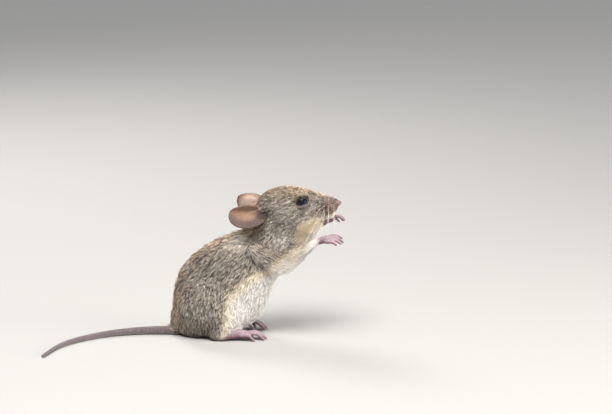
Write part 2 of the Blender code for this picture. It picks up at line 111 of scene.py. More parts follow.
def between(value: Array, start: float, full: float, fade: float, end: float) -> Array:
    """Rises softly from 0 at the start to 1, and falls back from where it fades to 0 at the end."""
    return smooth_step(value, start, full) * (1.0 - smooth_step(value, fade, end))


def ridge(apart: Array, width: float) -> Array:
    """1 on a line and softly less to both sides of it."""
    return np.exp(-((apart / width) ** 2))


def unit(vectors: Array) -> Array:
    """Vectors brought to length 1."""
    return vectors / np.maximum(np.linalg.norm(vectors, axis=1, keepdims=True), TINY)


def laid(ways: Array, normals: Array) -> Array:
    """Directions laid down along the surface that has these normals."""
    return unit(ways - normals * (ways * normals).sum(1, keepdims=True))


def mirrored(local: Array) -> Array:
    """Places beside the head, with those on its right brought over to its left."""
    return local * SIDE_ON + ACROSS * np.abs(local[:, 1:2])


def cloud(points: Array, size: float, seed: float) -> Array:
    """Smooth noise from about -1 to 1.

    Args:
        points: Places in metres, one a row.
        size: How wide a patch of the noise is, in millimetres.
        seed: Moves the noise, so that two clouds differ.

    Returns:
        One value for each point.
    """
    places = (points / (size * MM) + seed).tolist()
    return np.array([noise.noise(place) for place in places])


# ---------------------------------------------------------------- finishes


@dataclass(frozen=True)
class Finish:
    """Base of the finishes: a named material with one Principled shader."""

    name: str

    def make(self) -> bpy.types.Material:
        """Makes the material."""
        material = bpy.data.materials.new(self.name)
        material.use_nodes = True
        tree = material.node_tree
        self.feed(tree, tree.nodes["Principled BSDF"], self.sockets(tree))
        return material

    def sockets(self, tree: Tree) -> dict:
        """What the shader's sockets are given."""
        raise NotImplementedError

    @staticmethod
    def feed(tree: Tree, node: bpy.types.Node, given: dict) -> None:
        """Gives each of a node's sockets a number, a colour or a link from another socket."""
        for key, value in given.items():
            if isinstance(value, Socket):
                tree.links.new(value, node.inputs[key])
            else:
                node.inputs[key].default_value = value

    def node(self, tree: Tree, kind: str, result: str, given: dict, **settings) -> Socket:
        """Adds a node.

        Args:
            tree: The material's nodes.
            kind: The node's type.
            result: Which of its outputs is wanted.
            given: What its sockets are given.
            settings: The node's own settings.

        Returns:
            The wanted output's socket.
        """
        node = tree.nodes.new("ShaderNode" + kind)
        for key, value in settings.items():
            setattr(node, key, value)
        self.feed(tree, node, given)
        return node.outputs[result]

    def attribute(self, tree: Tree, name: str, result: str) -> Socket:
        """One of the mesh's own attributes."""
        return self.node(tree, "Attribute", result, {}, attribute_name=name)

    def clouds(self, tree: Tree, scale: float, detail: float) -> Socket:
        """Noise over the object's own coordinates: so many patches a metre, with so many finer layers."""
        place = self.node(tree, "TexCoord", "Object", {})
        return self.node(tree, "TexNoise", "Fac", {"Vector": place, "Scale": scale, "Detail": detail})

    def spread(self, tree: Tree, source: Socket, low: float, high: float) -> Socket:
        """A value from 0 to 1 stretched to run from low to high."""
        return self.node(tree, "MapRange", "Result", {"Value": source, "To Min": low, "To Max": high})

    def scaled(self, tree: Tree, colour: Socket, factor: Socket) -> Socket:
        """A colour made lighter or darker by a value."""
        return self.node(tree, "VectorMath", "Vector", {0: colour, "Scale": factor}, operation="SCALE")

    def sums(self, tree: Tree, operation: str, *values: Socket | float) -> Socket:
        """A sum of one to three values."""
        return self.node(tree, "Math", "Value", dict(enumerate(values)), operation=operation)


@dataclass(frozen=True)
class CoatFinish(Finish):
    """Fur: the tufts' own colours, with a faint grain and a soft shine."""

    roughness: float = 0.62
    specular: float = 0.28
    grain: float = 2600.0
    grain_depth: float = 0.22

    def sockets(self, tree: Tree) -> dict:
        """What the shader's sockets are given."""
        hair = self.attribute(tree, "hair", "Color")
        grain = self.clouds(tree, self.grain, 1.0)
        factor = self.spread(tree, grain, 1.0 - self.grain_depth, 1.0 + self.grain_depth)
        return {
            "Base Color": self.scaled(tree, hair, factor),
            "Roughness": self.roughness,
            "Specular IOR Level": self.specular,
        }


@dataclass(frozen=True)
class SkinFinish(Finish):
    """Bare and furred skin: tinted, mottled, finely creased, and ringed on the tail."""

    rough_low: float = 0.4
    rough_high: float = 0.62
    specular: float = 0.2
    depth_of_light: float = 0.2
    light_reach: Triple = (1.0, 0.45, 0.3)
    light_scale: float = 0.5
    mottle: float = 900.0
    mottle_depth: float = 0.28
    crease: float = 5200.0
    relief: float = 0.05
    ring_relief: float = 0.10
    ring_spacing: float = 0.5

    def sockets(self, tree: Tree) -> dict:
        """What the shader's sockets are given."""
        tint = self.attribute(tree, "tint", "Color")
        mottle = self.clouds(tree, self.mottle, 3.0)
        factor = self.spread(tree, mottle, 1.0 - self.mottle_depth, 1.0 + self.mottle_depth)
        crease = self.clouds(tree, self.crease, 2.0)
        along = self.attribute(tree, "along_tail", "Fac")
        wave = self.sums(tree, "SINE", self.sums(tree, "MULTIPLY", along, math.tau / self.ring_spacing))
        height = self.sums(tree, "MULTIPLY_ADD", wave, self.ring_relief / self.relief, crease)
        return {
            "Base Color": self.scaled(tree, tint, factor),
            "Normal": self.node(tree, "Bump", "Normal", {"Height": height, "Distance": self.relief * MM}),
            "Roughness": self.spread(tree, mottle, self.rough_low, self.rough_high),
            "Subsurface Weight": self.depth_of_light,
            "Subsurface Radius": self.light_reach,
            "Subsurface Scale": self.light_scale * MM,
            "Specular IOR Level": self.specular,
        }


@dataclass(frozen=True)
class HornFinish(Finish):
    """Claws, lid rims and whiskers: smooth, slightly streaked, between two colours."""

    light: Colour = (0.7, 0.6, 0.55)
    dark: Colour = (0.35, 0.26, 0.24)
    ends: tuple[float, float] = (0.3, 0.7)
    roughness: float = 0.35
    streaks: float = 1500.0

    def sockets(self, tree: Tree) -> dict:
        """What the shader's sockets are given."""
        ramp = tree.nodes.new("ShaderNodeValToRGB")
        for element, place, colour in zip(ramp.color_ramp.elements, self.ends, (self.dark, self.light)):
            element.position = place
            element.color = (*colour, 1.0)
        self.feed(tree, ramp, {"Fac": self.clouds(tree, self.streaks, 2.0)})
        return {"Base Color": ramp.outputs["Color"], "Roughness": self.roughness}


@dataclass(frozen=True)
class EyeFinish(HornFinish):
    """A wet, nearly black eye, browner and lighter in places, with a painted blue reflection of the sky."""

    light: Colour = (0.012, 0.009, 0.009)
    dark: Colour = (0.004, 0.005, 0.009)
    ends: tuple[float, float] = (0.35, 0.8)
    roughness: float = 0.05
    streaks: float = 420.0
    specular: float = 0.5
    # painted reflection: the eye's reflections tinted blue as if mirroring a blue sky
    sky_reflection_tint: Colour = (0.24, 0.38, 0.72)

    def sockets(self, tree: Tree) -> dict:
        """What the shader's sockets are given."""
        wet = {"Specular IOR Level": self.specular, "Specular Tint": (*self.sky_reflection_tint, 1.0)}
        return super().sockets(tree) | wet


@dataclass(frozen=True)
class FloorFinish(Finish):
    """A plain, pale, matt studio floor."""

    colour: Colour = (0.37, 0.362, 0.349)
    roughness: float = 0.9

    def sockets(self, tree: Tree) -> dict:
        """What the shader's sockets are given."""
        return {"Base Color": (*self.colour, 1.0), "Roughness": self.roughness}


# ---------------------------------------------------------------- meshes


def placed(name: str, data: bpy.types.ID) -> bpy.types.Object:
    """Makes an object of some data and adds it to the scene."""
    thing = bpy.data.objects.new(name, data)
    bpy.context.scene.collection.objects.link(thing)
    return thing


def as_mesh(name: str, shell: bmesh.types.BMesh) -> bpy.types.Mesh:
    """Writes a shell into a new mesh and frees it."""
    mesh = bpy.data.meshes.new(name)
    shell.to_mesh(mesh)
    shell.free()
    return mesh


def joined(meshes: list[bpy.types.Mesh]) -> bpy.types.Mesh:
    """Several meshes as one."""
    whole = bmesh.new()
    for mesh in meshes:
        whole.from_mesh(mesh)
    return as_mesh("joined", whole)


def read(items: bpy.types.bpy_prop_collection, name: str, width: int, kind: type) -> Array:
    """Reads a property of every corner, edge or triangle.

    Args:
        items: The corners, edges or triangles.
        name: The property's name.
        width: How many numbers it has.
        kind: The numbers' type.

    Returns:
        A row for each item.
    """
    values = np.empty(len(items) * width, kind)
    items.foreach_get(name, values)
    return values.reshape(-1, width)


@dataclass
class Surface:
    """A closed mesh as arrays: its corners, triangles, corner normals and edges."""

    points: Array
    triangles: Array
    normals: Array
    edges: Array

    @classmethod
    def of(cls, mesh: bpy.types.Mesh) -> "Surface":
        """Reads a mesh."""
        mesh.calc_loop_triangles()
        return cls(
            read(mesh.vertices, "co", 3, np.float32).astype(float),
            read(mesh.loop_triangles, "vertices", 3, np.int32),
            read(mesh.vertex_normals, "vector", 3, np.float32).astype(float),
            read(mesh.edges, "vertices", 2, np.int32),
        )

    def eased(self, values: Array, rounds: int, hold: Array | float = 0.0) -> Array:
        """Averages values at the corners with those of their neighbours.

        Args:
            values: One value or one row for each corner.
            rounds: How many times.
            hold: How firmly a corner keeps its own value, from 0 to 1.

        Returns:
            The new values.
        """
        columns = values if values.ndim == 2 else values[:, None]
        pull = 0.5 * (1.0 - np.broadcast_to(hold, (len(values),)))[:, None]
        first = np.concatenate([self.edges[:, 0], self.edges[:, 1]])
        second = np.concatenate([self.edges[:, 1], self.edges[:, 0]])
        count = np.maximum(np.bincount(first, minlength=len(self.points)), 1)
        result = columns.astype(float)
        for _ in range(rounds):
            sums = [np.bincount(first, result[second, k], len(self.points)) for k in range(result.shape[1])]
            result = result + pull * (np.stack(sums, 1) / count[:, None] - result)
        return result if values.ndim == 2 else result[:, 0]


def shaped(mesh: bpy.types.Mesh, kind: str, **values) -> bpy.types.Mesh:
    """The mesh after one modifier.

    Args:
        mesh: The mesh to start from.
        kind: The modifier's type.
        values: The modifier's own values.

    Returns:
        A new mesh.
    """
    helper = placed("helper", mesh)
    modifier = helper.modifiers.new(kind.lower(), kind)
    for key, value in values.items():
        setattr(modifier, key, value)
    evaluated = helper.evaluated_get(bpy.context.evaluated_depsgraph_get())
    result = bpy.data.meshes.new_from_object(evaluated)
    bpy.data.objects.remove(helper)
    return result


def add_piece(name: str, mesh: bpy.types.Mesh, finish: Finish) -> bpy.types.Object:
    """Makes a mesh a piece of the animal.

    Args:
        name: The piece's name.
        mesh: Its mesh, already in place.
        finish: Its finish.

    Returns:
        The piece, riding on the root body.
    """
    mesh.name = name
    mesh.materials.clear()
    mesh.materials.append(finish.make())
    mesh.shade_smooth()
    piece = placed(name, mesh)
    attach(piece, "root")
    LOG.info("%s: %d faces", name, len(mesh.polygons))
    return piece


def set_attribute(mesh: bpy.types.Mesh, name: str, values: Array) -> None:
    """Stores a colour or a value at each corner of a mesh.

    Args:
        mesh: The mesh.
        name: The attribute's name.
        values: A row of red, green and blue, or one number, for each corner.
    """
    if values.ndim == 2:
        attribute = mesh.attributes.new(name, "FLOAT_COLOR", "POINT")
        colours = np.ones((len(values), 4), np.float32)
        colours[:, :3] = values
        attribute.data.foreach_set("color", colours.ravel())
    else:
        attribute = mesh.attributes.new(name, "FLOAT", "POINT")
        attribute.data.foreach_set("value", values.astype(np.float32))


# ---------------------------------------------------------------- the animal's own places


@dataclass(frozen=True)
class Axes:
    """A place with three directions of its own, square to each other."""

    origin: Vector
    first: Vector
    second: Vector
    third: Vector

    def place(self, first: float, second: float, third: float) -> Vector:
        """The point at these millimetres along the three directions."""
        return self.origin + (self.first * first + self.second * second + self.third * third) * MM

    def local(self, points: Array) -> Array:
        """Points in millimetres along the three directions."""
        rows = np.array([self.first, self.second, self.third])
        return (points - np.array(self.origin)) @ rows.T / MM


@dataclass(frozen=True)
class Anatomy:
    """Where the head, eyes and ears lie and which way they face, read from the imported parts."""

    eye_radius: float = 2.35
    eye_sink: float = 0.3
    eye_advance: float = 0.2
    eye_slant: float = math.radians(20.0)
    eye_forward: float = math.radians(12.0)
    eye_upward: float = math.radians(6.0)
    ear_flare: float = math.radians(20.0)
    ear_rise: float = 0.06
    ear_lean: dict = field(
        default_factory=lambda: {Side.LEFT: math.radians(16.0), Side.RIGHT: math.radians(40.0)}
    )

    def eye_centre(self, side: Side) -> Vector:
        """The middle of an eyeball."""
        low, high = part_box("eye_" + side.label)
        outer = high.y if side is Side.LEFT else low.y
        inset = (self.eye_radius + self.eye_sink) * MM
        advance = self.eye_advance * MM
        return Vector(((low.x + high.x) / 2 + advance, outer - side.value * inset, (low.z + high.z) / 2))

    def head(self) -> Axes:
        """Forward to the nose, to the head's left, and up, from midway between the eyes."""
        middle = (self.eye_centre(Side.LEFT) + self.eye_centre(Side.RIGHT)) / 2
        way = at("nose", 0.5, 0.5, 0.5) - middle
        forward = Vector((way.x, way.y, 0.0)).normalized()
        return Axes(middle, forward, Vector((-forward.y, forward.x, 0.0)), Vector((0.0, 0.0, 1.0)))

    def nose(self) -> Array:
        """The middle of the nose pad in the head's own millimetres."""
        return self.head().local(np.array([at("nose", 0.5, 0.5, 0.5)]))[0]

    def eye(self, side: Side) -> Axes:
        """Along the opening toward the nose, across it upward, and outward, from an eyeball's middle."""
        head = self.head()
        outward = turned(head.second * side.value, head.first, self.eye_forward)
        outward = (outward + head.third * math.sin(self.eye_upward)).normalized()
        along = turned(head.first, head.third, self.eye_slant)
        along = (along - outward * along.dot(outward)).normalized()
        across = outward.cross(along)
        return Axes(self.eye_centre(side), along, across if across.z > 0 else -across, outward)

    def ear(self, side: Side) -> Axes:
        """Along an ear to its root, up to its upper edge, and out of its cup, from its middle."""
        head = self.head()
        inward = head.second * -side.value
        along = turned(head.first, inward, self.ear_flare)
        along = (along + head.third * self.ear_rise).normalized()
        height = turned(head.third, inward, self.ear_lean[side])
        height = (height - along * height.dot(along)).normalized()
        return Axes(at("ear_" + side.label, 0.5, 0.5, 0.5), along, height, along.cross(height) * -side.value)


@dataclass(frozen=True)
class Station:
    """The coat at a share of the way along a guide, in millimetres and tufts a square millimetre."""

    share: float
    depth: float
    length: float
    width: float
    density: float


@dataclass(frozen=True)
class Guide:
    """A line through some of the parts, which their hair follows from its start to its end."""

    parts: tuple[str, ...]
    route: tuple[Vector, ...]
    stations: tuple[Station, ...]

    @classmethod
    def through(cls, parts: tuple[str, ...], route: tuple, stations: tuple) -> "Guide":
        """Makes a guide.

        Args:
            parts: The parts whose hair follows it.
            route: Its points, as nodes that are each followed by shares of their boxes.
            stations: Rows of a station's values.

        Returns:
            The guide.
        """
        points = [at(node, *shares) for node, *rows in route for shares in rows]
        return cls(parts, tuple(points), tuple(Station(*row) for row in stations))

    def follow(self, points: Array) -> tuple[Array, Array]:
        """Finds where points lie beside the guide.

        Args:
            points: Places in metres.

        Returns:
            The share of the way along the guide, and its direction there.
        """
        route = np.array(self.route)
        steps = route[1:] - route[:-1]
        lengths = np.linalg.norm(steps, axis=1)
        starts = np.concatenate([[0.0], np.cumsum(lengths)])
        nearest = np.full(len(points), FAR)
        share = np.zeros(len(points))
        heading = np.zeros((len(points), 3))
        for i, step in enumerate(steps):
            along = np.clip((points - route[i]) @ step / lengths[i] ** 2, 0.0, 1.0)
            apart = np.linalg.norm(points - route[i] - along[:, None] * step, axis=1)
            closer = apart < nearest
            nearest[closer] = apart[closer]
            share[closer] = ((starts[i] + along * lengths[i]) / starts[-1])[closer]
            heading[closer] = step / lengths[i]
        return share, heading

    def length(self) -> float:
        """How long the guide is, in metres."""
        return sum((end - start).length for start, end in zip(self.route, self.route[1:]))

    def measures(self, share: Array) -> Array:
        """The coat's depth, length, width and density at shares of the way."""
        stops = [station.share for station in self.stations]
        columns = ("depth", "length", "width", "density")
        rows = [np.interp(share, stops, [getattr(s, name) for s in self.stations]) for name in columns]
        return np.stack(rows, 1)


def body_guides() -> tuple[Guide, ...]:
    """The guides of the whole animal, each through the middle of its parts."""
    guides = [spine_guide(), tail_guide()]
    for side in Side:
        guides += [foreleg_guide(side), hind_leg_guide(side), hind_foot_guide(side), ear_guide(side)]
    return tuple(guides)


def spine_guide() -> Guide:
    """The guide from the nose over the back to the root of the tail."""
    return Guide.through(
        ("nose", "eye", "head", "lower_jaw", "neck", "chest", "hindquarters"),
        (
            ("nose", (1.0, 0.5, 0.5)),
            ("head", (0.78, 0.42, 0.64), (0.56, 0.45, 0.62), (0.28, 0.52, 0.52)),
            ("neck", (0.22, 0.55, 0.62)),
            ("chest", (0.36, 0.5, 0.76)),
            ("hindquarters", (0.50, 0.5, 0.74), (0.24, 0.5, 0.46), (0.12, 0.5, 0.16)),
            ("tail_root", (0.93, 0.72, 0.5)),
        ),
        (
            (0.0, 0.10, 0.55, 0.12, 30.0),
            (0.06, 0.24, 0.8, 0.14, 34.0),
            (0.17, 0.40, 1.2, 0.17, 30.0),
            (0.27, 0.80, 2.0, 0.22, 22.0),
            (0.37, 1.15, 2.9, 0.22, 17.0),
            (0.50, 1.30, 3.4, 0.23, 15.5),
            (0.80, 1.45, 3.7, 0.24, 14.5),
            (1.0, 1.20, 3.2, 0.23, 15.5),
        ),
    )


def tail_guide() -> Guide:
    """The guide along the tail."""
    return Guide.through(
        ("tail",),
        (
            ("tail_root", (1.0, 0.75, 0.5), (0.80, 0.73, 0.5), (0.42, 0.69, 0.45), (0.0, 0.20, 0.4)),
            ("tail_middle", (0.46, 0.58, 0.45), (0.08, 0.09, 0.4)),
            ("tail_tip", (0.36, 0.60, 0.45), (0.06, 0.0, 0.4)),
        ),
        ((0.0, 0.30, 1.3, 0.15, 16.0), (0.05, 0.12, 0.8, 0.08, 6.0), (1.0, 0.03, 0.6, 0.05, 4.0)),
    )


def foreleg_guide(side: Side) -> Guide:
    """The guide from a shoulder to the fingertips."""
    leg, paw = "foreleg_" + side.label, "forepaw_" + side.label
    inner = 0.25 if side is Side.LEFT else 0.75
    return Guide.through(
        (leg, paw),
        (
            (leg, (0.15, inner, 0.62), (0.50, 0.5, 0.26), (0.68, 0.5, 0.42), (0.86, 0.5, 0.78)),
            (paw, (0.02, 0.5, 0.35), (0.45, 0.5, 0.62), (1.0, 0.5, 0.45)),
        ),
        (
            (0.0, 1.15, 3.2, 0.23, 15.5),
            (0.30, 0.90, 2.4, 0.24, 18.0),
            (0.50, 0.55, 1.6, 0.20, 24.0),
            (0.66, 0.25, 0.9, 0.15, 28.0),
            (0.74, 0.10, 0.5, 0.10, 14.0),
            (0.82, 0.05, 0.4, 0.08, 0.0),
            (1.0, 0.04, 0.4, 0.08, 0.0),
        ),
    )


def hind_leg_guide(side: Side) -> Guide:
    """The guide from a hip to the heel."""
    leg = "hind_leg_" + side.label
    return Guide.through(
        (leg,),
        ((leg, (0.62, 0.5, 1.0), (0.46, 0.5, 0.6), (0.44, 0.5, 0.3), (0.46, 0.5, 0.0)),),
        (
            (0.0, 1.40, 3.5, 0.24, 14.5),
            (0.5, 1.25, 3.2, 0.23, 15.5),
            (0.8, 0.80, 2.0, 0.22, 18.0),
            (1.0, 0.40, 1.1, 0.17, 22.0),
        ),
    )


def hind_foot_guide(side: Side) -> Guide:
    """The guide from a heel to the toes."""
    foot = "hind_foot_" + side.label
    return Guide.through(
        (foot,),
        ((foot, (0.0, 0.5, 0.45), (0.5, 0.5, 0.5), (1.0, 0.5, 0.3)),),
        (
            (0.0, 0.16, 0.8, 0.13, 22.0),
            (0.22, 0.08, 0.6, 0.11, 12.0),
            (0.42, 0.04, 0.4, 0.09, 0.0),
            (1.0, 0.03, 0.4, 0.08, 0.0),
        ),
    )


def ear_guide(side: Side) -> Guide:
    """The guide from the root of an ear to its rim."""
    ear = "ear_" + side.label
    root, rim = (0.35, 0.8) if side is Side.LEFT else (0.65, 0.2)
    return Guide.through(
        (ear,),
        ((ear, (1.0, root, 0.5), (0.0, rim, 0.5)),),
        (
            (0.0, 0.30, 1.4, 0.14, 36.0),
            (0.07, 0.15, 0.9, 0.10, 18.0),
            (0.17, 0.08, 0.5, 0.035, 6.0),
            (1.0, 0.06, 0.35, 0.03, 6.0),
        ),
    )


# ---------------------------------------------------------------- markings


@dataclass(frozen=True)
class Markings:
    """The colours of coat and skin by their place on the animal, with painted light and shade in places. Both
    are coloured by these methods.
    """

    brown: Colour = (0.430, 0.325, 0.245)
    grey: Colour = (0.370, 0.343, 0.316)
    # painted light: the crown lightened as if lit from above
    crown_painted_light: Colour = (0.500, 0.375, 0.270)
    # painted highlight: a pale cream patch where light falls on the shoulders
    shoulder: Colour = (0.900, 0.820, 0.740)
    # painted shade: the lower haunch darkened as if in shadow
    haunch_painted_shade: Colour = (0.112, 0.108, 0.120)
    ruff: Colour = (0.760, 0.730, 0.700)
    # painted shadow behind the ears, on the nape
    nape_painted_shade: Colour = (0.210, 0.105, 0.030)
    pad: Colour = (0.160, 0.066, 0.056)
    lip_corner: Colour = (0.085, 0.055, 0.050)
    # painted shadow above the eye and at its front corner, where the upper lid hoods the ball
    lid_painted_shadow: Colour = (0.040, 0.028, 0.024)
    buff: Colour = (0.840, 0.680, 0.470)
    white: Colour = (0.850, 0.830, 0.800)
    # the throat's cream, made brighter as painted light from below
    throat_cream_and_light: Colour = (0.930, 0.760, 0.530)
    under: Colour = (0.075, 0.066, 0.062)
    # pale pinkish middle of the ear's cup, partly a painted highlight from light above
    ear_middle: Colour = (0.220, 0.138, 0.088)
    ear_edge: Colour = (0.100, 0.069, 0.066)
    # painted light: the ear's upper part lighter, as if lit from above
    ear_top: Colour = (0.150, 0.086, 0.058)
    ear_rim: Colour = (0.045, 0.027, 0.032)
    # painted light: the back of the ear lightened as if lit through from behind
    ear_back: Colour = (0.440, 0.320, 0.255)
    # painted shade in the hollow of the ear
    ear_hollow: Colour = (0.036, 0.016, 0.012)
    paw: Colour = (0.215, 0.152, 0.172)
    # painted light: the tops of the paws lighter where they face up
    paw_top_painted_light: Colour = (0.330, 0.262, 0.298)
    # pinker skin of the soles, darkened on the downward faces as painted shade
    sole_and_painted_shade: Colour = (0.190, 0.085, 0.105)
    paw_joint: Colour = (0.240, 0.110, 0.125)
    tail_back: Colour = (0.165, 0.135, 0.150)
    tail_belly: Colour = (0.430, 0.370, 0.380)
    nose: Colour = (0.250, 0.165, 0.160)
    # painted shade in the nostril openings
    nostril: Colour = (0.020, 0.008, 0.008)
    lip: Colour = (0.480, 0.150, 0.130)
    pale_start: float = -1.7
    pale_full: float = 1.9
    pale_noise: float = 0.7
    buff_middle: float = 0.8
    buff_width: float = 2.0
    arm_shade: float = 0.30
    pale_edge: tuple[tuple, ...] = (
        ("head", (0.95, 0.54), (0.87, 0.49), (0.78, 0.46), (0.63, 0.43), (0.55, 0.31)),
        ("chest", (1.01, 0.86), (1.02, 0.75), (0.99, 0.68), (0.90, 0.61), (0.71, 0.57), (0.53, 0.43)),
        ("hindquarters", (0.75, 0.63), (0.62, 0.52), (0.58, 0.38), (0.55, 0.22), (0.52, 0.07), (0.51, -0.06)),
    )

    def below_edge(self, points: Array) -> Array:
        """How far points lie past the line, seen from the side, where the back's grey meets the white.

        Args:
            points: Places in metres.

        Returns:
            Millimetres on the white side of the line, ragged by a little noise. On the grey side they are
            negative.
        """
        stops = [at(node, x, 0.5, z) for node, *shares in self.pale_edge for x, z in shares]
        edge = np.array(stops)[:, (0, 2)]
        flat = points[:, (0, 2)]
        nearest = np.full(len(points), FAR)
        result = np.zeros(len(points))
        for start, end in zip(edge, edge[1:]):
            step = end - start
            along = np.clip((flat - start) @ step / (step @ step), 0.0, 1.0)
            apart = flat - start - along[:, None] * step
            distance = np.linalg.norm(apart, axis=1)
            side = np.sign(step[0] * (flat - start)[:, 1] - step[1] * (flat - start)[:, 0])
            closer = distance < nearest
            nearest[closer] = distance[closer]
            result[closer] = (side * distance)[closer]
        return result / MM + self.pale_noise * cloud(points, 1.6, 3.0)

    def paleness(self, points: Array, anatomy: Anatomy) -> Array:
        """How white the coat is: 0 on the back and 1 on the belly, with a sharper change on the face."""
        face = smooth_step(anatomy.head().local(points)[:, 0], 2.0, 8.0)
        return smooth_step(self.below_edge(points) / (1.0 - 0.6 * face), self.pale_start, self.pale_full)

    @staticmethod
    def blend(base: Array, colour: Colour, share: Array) -> Array:
        """Mixes a colour into rows of colours by a share for each."""
        return base + (np.array(colour) - base) * np.clip(share, 0.0, 1.0)[:, None]

    @staticmethod
    def spot(local: Array, centre: tuple, radii: tuple) -> Array:
        """A soft egg-shaped spot: 1 at its middle, fading out past its radii."""
        apart = (local - np.array(centre)) / np.array(radii)
        return np.exp(-((apart**2).sum(1) ** 1.5))

    def patch(self, points: Array, middle: Vector, length: float, height: float) -> Array:
        """A soft spot seen from the side, on both flanks: its middle, half its length and half its height."""
        return self.spot((points - np.array(middle)) / MM * SIDE_ON, (0.0, 0.0, 0.0), (length, 1.0, height))

    def painted(self, tint: Array, layers: tuple | list) -> Array:
        """Mixes colours in, one over another. Each layer is a colour and a share for each row."""
        for colour, share in layers:
            tint = self.blend(tint, colour, share)
        return tint

    def coat(self, points: Array, normals: Array, anatomy: Anatomy) -> Array:
        """The coat's colour at places on the skin, with some painted light and painted shade.

        Args:
            points: The places, in metres.
            normals: The skin's outward directions there.
            anatomy: Where the head is.

        Returns:
            Rows of red, green and blue.
        """
        local = anatomy.head().local(points)
        sideways = mirrored(local)
        level = np.abs(normals[:, 1])
        # painted highlight on the side-facing fur of the shoulders
        shoulder = self.patch(points, at("chest", 0.33, 0.5, 0.80), 4.8, 3.2)
        layers = [
            (self.grey, smooth_step(level, 0.35, 0.95)),
            # painted light from above on the crown
            (self.crown_painted_light, self.spot(local, (-3.0, 0.0, 3.5), (9.0, 7.0, 4.0)) * 0.8),
            (self.shoulder, shoulder * smooth_step(level, 0.25, 0.65)),
            (self.ruff, self.patch(points, at("neck", 0.66, 0.5, 0.42), 5.0, 4.0) * 0.85),
            # painted shade on the lower haunch, as if light fell from above
            (self.haunch_painted_shade, self.patch(points, at("hind_leg_right", 0.50, 0.5, 0.15), 11.0, 7.0) * 0.85),
            # painted shadow behind the ears, on the nape
            (self.nape_painted_shade, self.patch(points, at("neck", 0.02, 0.5, 0.60), 4.8, 2.8) * 0.95),
            (self.pad, self.spot(sideways, (9.4, 2.0, -2.4), (4.6, 3.2, 3.0)) * 0.9),
            (self.lip_corner, self.spot(sideways, (6.6, 3.2, -4.3), (2.0, 1.6, 1.0)) * 0.8),
        ]
        for side in Side:
            eye, ear = anatomy.eye(side).local(points), anatomy.ear(side).local(points)
            layers += [
                # painted shadow over the eye and at its front corner
                (self.lid_painted_shadow, self.spot(eye, (0.4, 1.3, 1.9), (3.5, 1.0, 1.8)) * 0.95),
                (self.lid_painted_shadow, self.spot(eye, (2.9, 0.5, 1.0), (1.5, 0.9, 1.8)) * 1.1),
                # painted shade in the ear's hollow
                (self.ear_hollow, self.spot(ear, (6.0, 0.0, 0.0), (2.6, 1.9, 3.0)) * 1.2),
            ]
        pale = self.paleness(points, anatomy)
        warm = ridge(self.below_edge(points) - self.buff_middle, self.buff_width)
        # the throat's cream: partly real colour, partly painted light from below
        throat = self.spot(sideways, (2.4, 3.0, -9.2), (6.0, 7.0, 5.5))
        layers += [(self.white, pale), (self.buff, warm * 0.52), (self.throat_cream_and_light, throat * pale * 0.85)]
        tint = self.painted(np.tile(np.array(self.brown), (len(points), 1)), layers)
        arm = self.patch(points, at("foreleg_right", 0.64, 0.5, 0.50), 12.5, 7.0)
        return tint * (1.0 - self.arm_shade * arm)[:, None]

    def under_coat(self, coat: Array, pale: Array) -> Array:
        """The skin's colour under the coat: much darker where the coat is dark, greyed where it is pale."""
        return coat * (0.28 + 0.56 * pale)[:, None] + 0.3 * np.array(self.under)

    def skin(self, place: "Places", anatomy: Anatomy) -> Array:
        """The skin's colour: bare on the ears, paws, tail and nose, darker under the coat elsewhere, with
        some painted light and shade.

        Args:
            place: The skin's corners.
            anatomy: Where the head is.

        Returns:
            Rows of red, green and blue.
        """
        points, normals = place.points, place.normals
        tint = self.under_coat(self.coat(points, normals, anatomy), self.paleness(points, anatomy))
        bare = 1.0 - smooth_step(place.measures[:, 3], 6.0, 14.0)
        mottle = cloud(points, 1.1, 9.0)
        feet = place.among("forepaw", "hind_foot")
        foot_layers = (
            (self.paw, bare),
            (self.paw_joint, bare * smooth_step(mottle, 0.25, 0.7) * 0.45),
            # painted light on the upward faces of the paws
            (self.paw_top_painted_light, bare * smooth_step(normals[:, 2], 0.25, 0.9) * 0.5),
            # the soles' pink skin, darker on the downward faces as painted shade
            (self.sole_and_painted_shade, bare * smooth_step(-normals[:, 2], -0.15, 0.6) * 0.7),
        )
        tint[feet] = self.painted(tint, foot_layers)[feet]
        tail = place.among("tail")
        below = np.maximum(-normals[:, 2], 0.0)
        tint[tail] = self.painted(tint, ((self.tail_back, bare), (self.tail_belly, bare * below)))[tail]
        for side in Side:
            ear = place.among("ear_" + side.label)
            axes = anatomy.ear(side)
            inside = smooth_step(normals @ np.array(axes.third), -0.2, 0.3)
            tint[ear] = self.ear(tint, axes.local(points), bare, mottle, inside)[ear]
        return self.muzzle(tint, anatomy.head().local(points) - anatomy.nose())

    def ear(self, tint: Array, local: Array, bare: Array, mottle: Array, inside: Array) -> Array:
        """An ear's colours: pale in the middle, purplish at the edge, a dark rim, a hollow in painted shade,
        and painted light.

        Args:
            tint: The colours so far.
            local: The places in the ear's own millimetres.
            bare: How bare each place is.
            mottle: A cloud that breaks the edges.
            inside: 1 in the cup and 0 on the back.

        Returns:
            The new colours.
        """
        reach = np.sqrt((local[:, 0] / 7.0) ** 2 + (local[:, 1] / 5.0) ** 2) + 0.06 * mottle
        # the pale middle of the cup, partly painted highlight
        middle = self.spot(local, (0.4, 1.0, 0.0), (4.4, 2.0, 9.0))
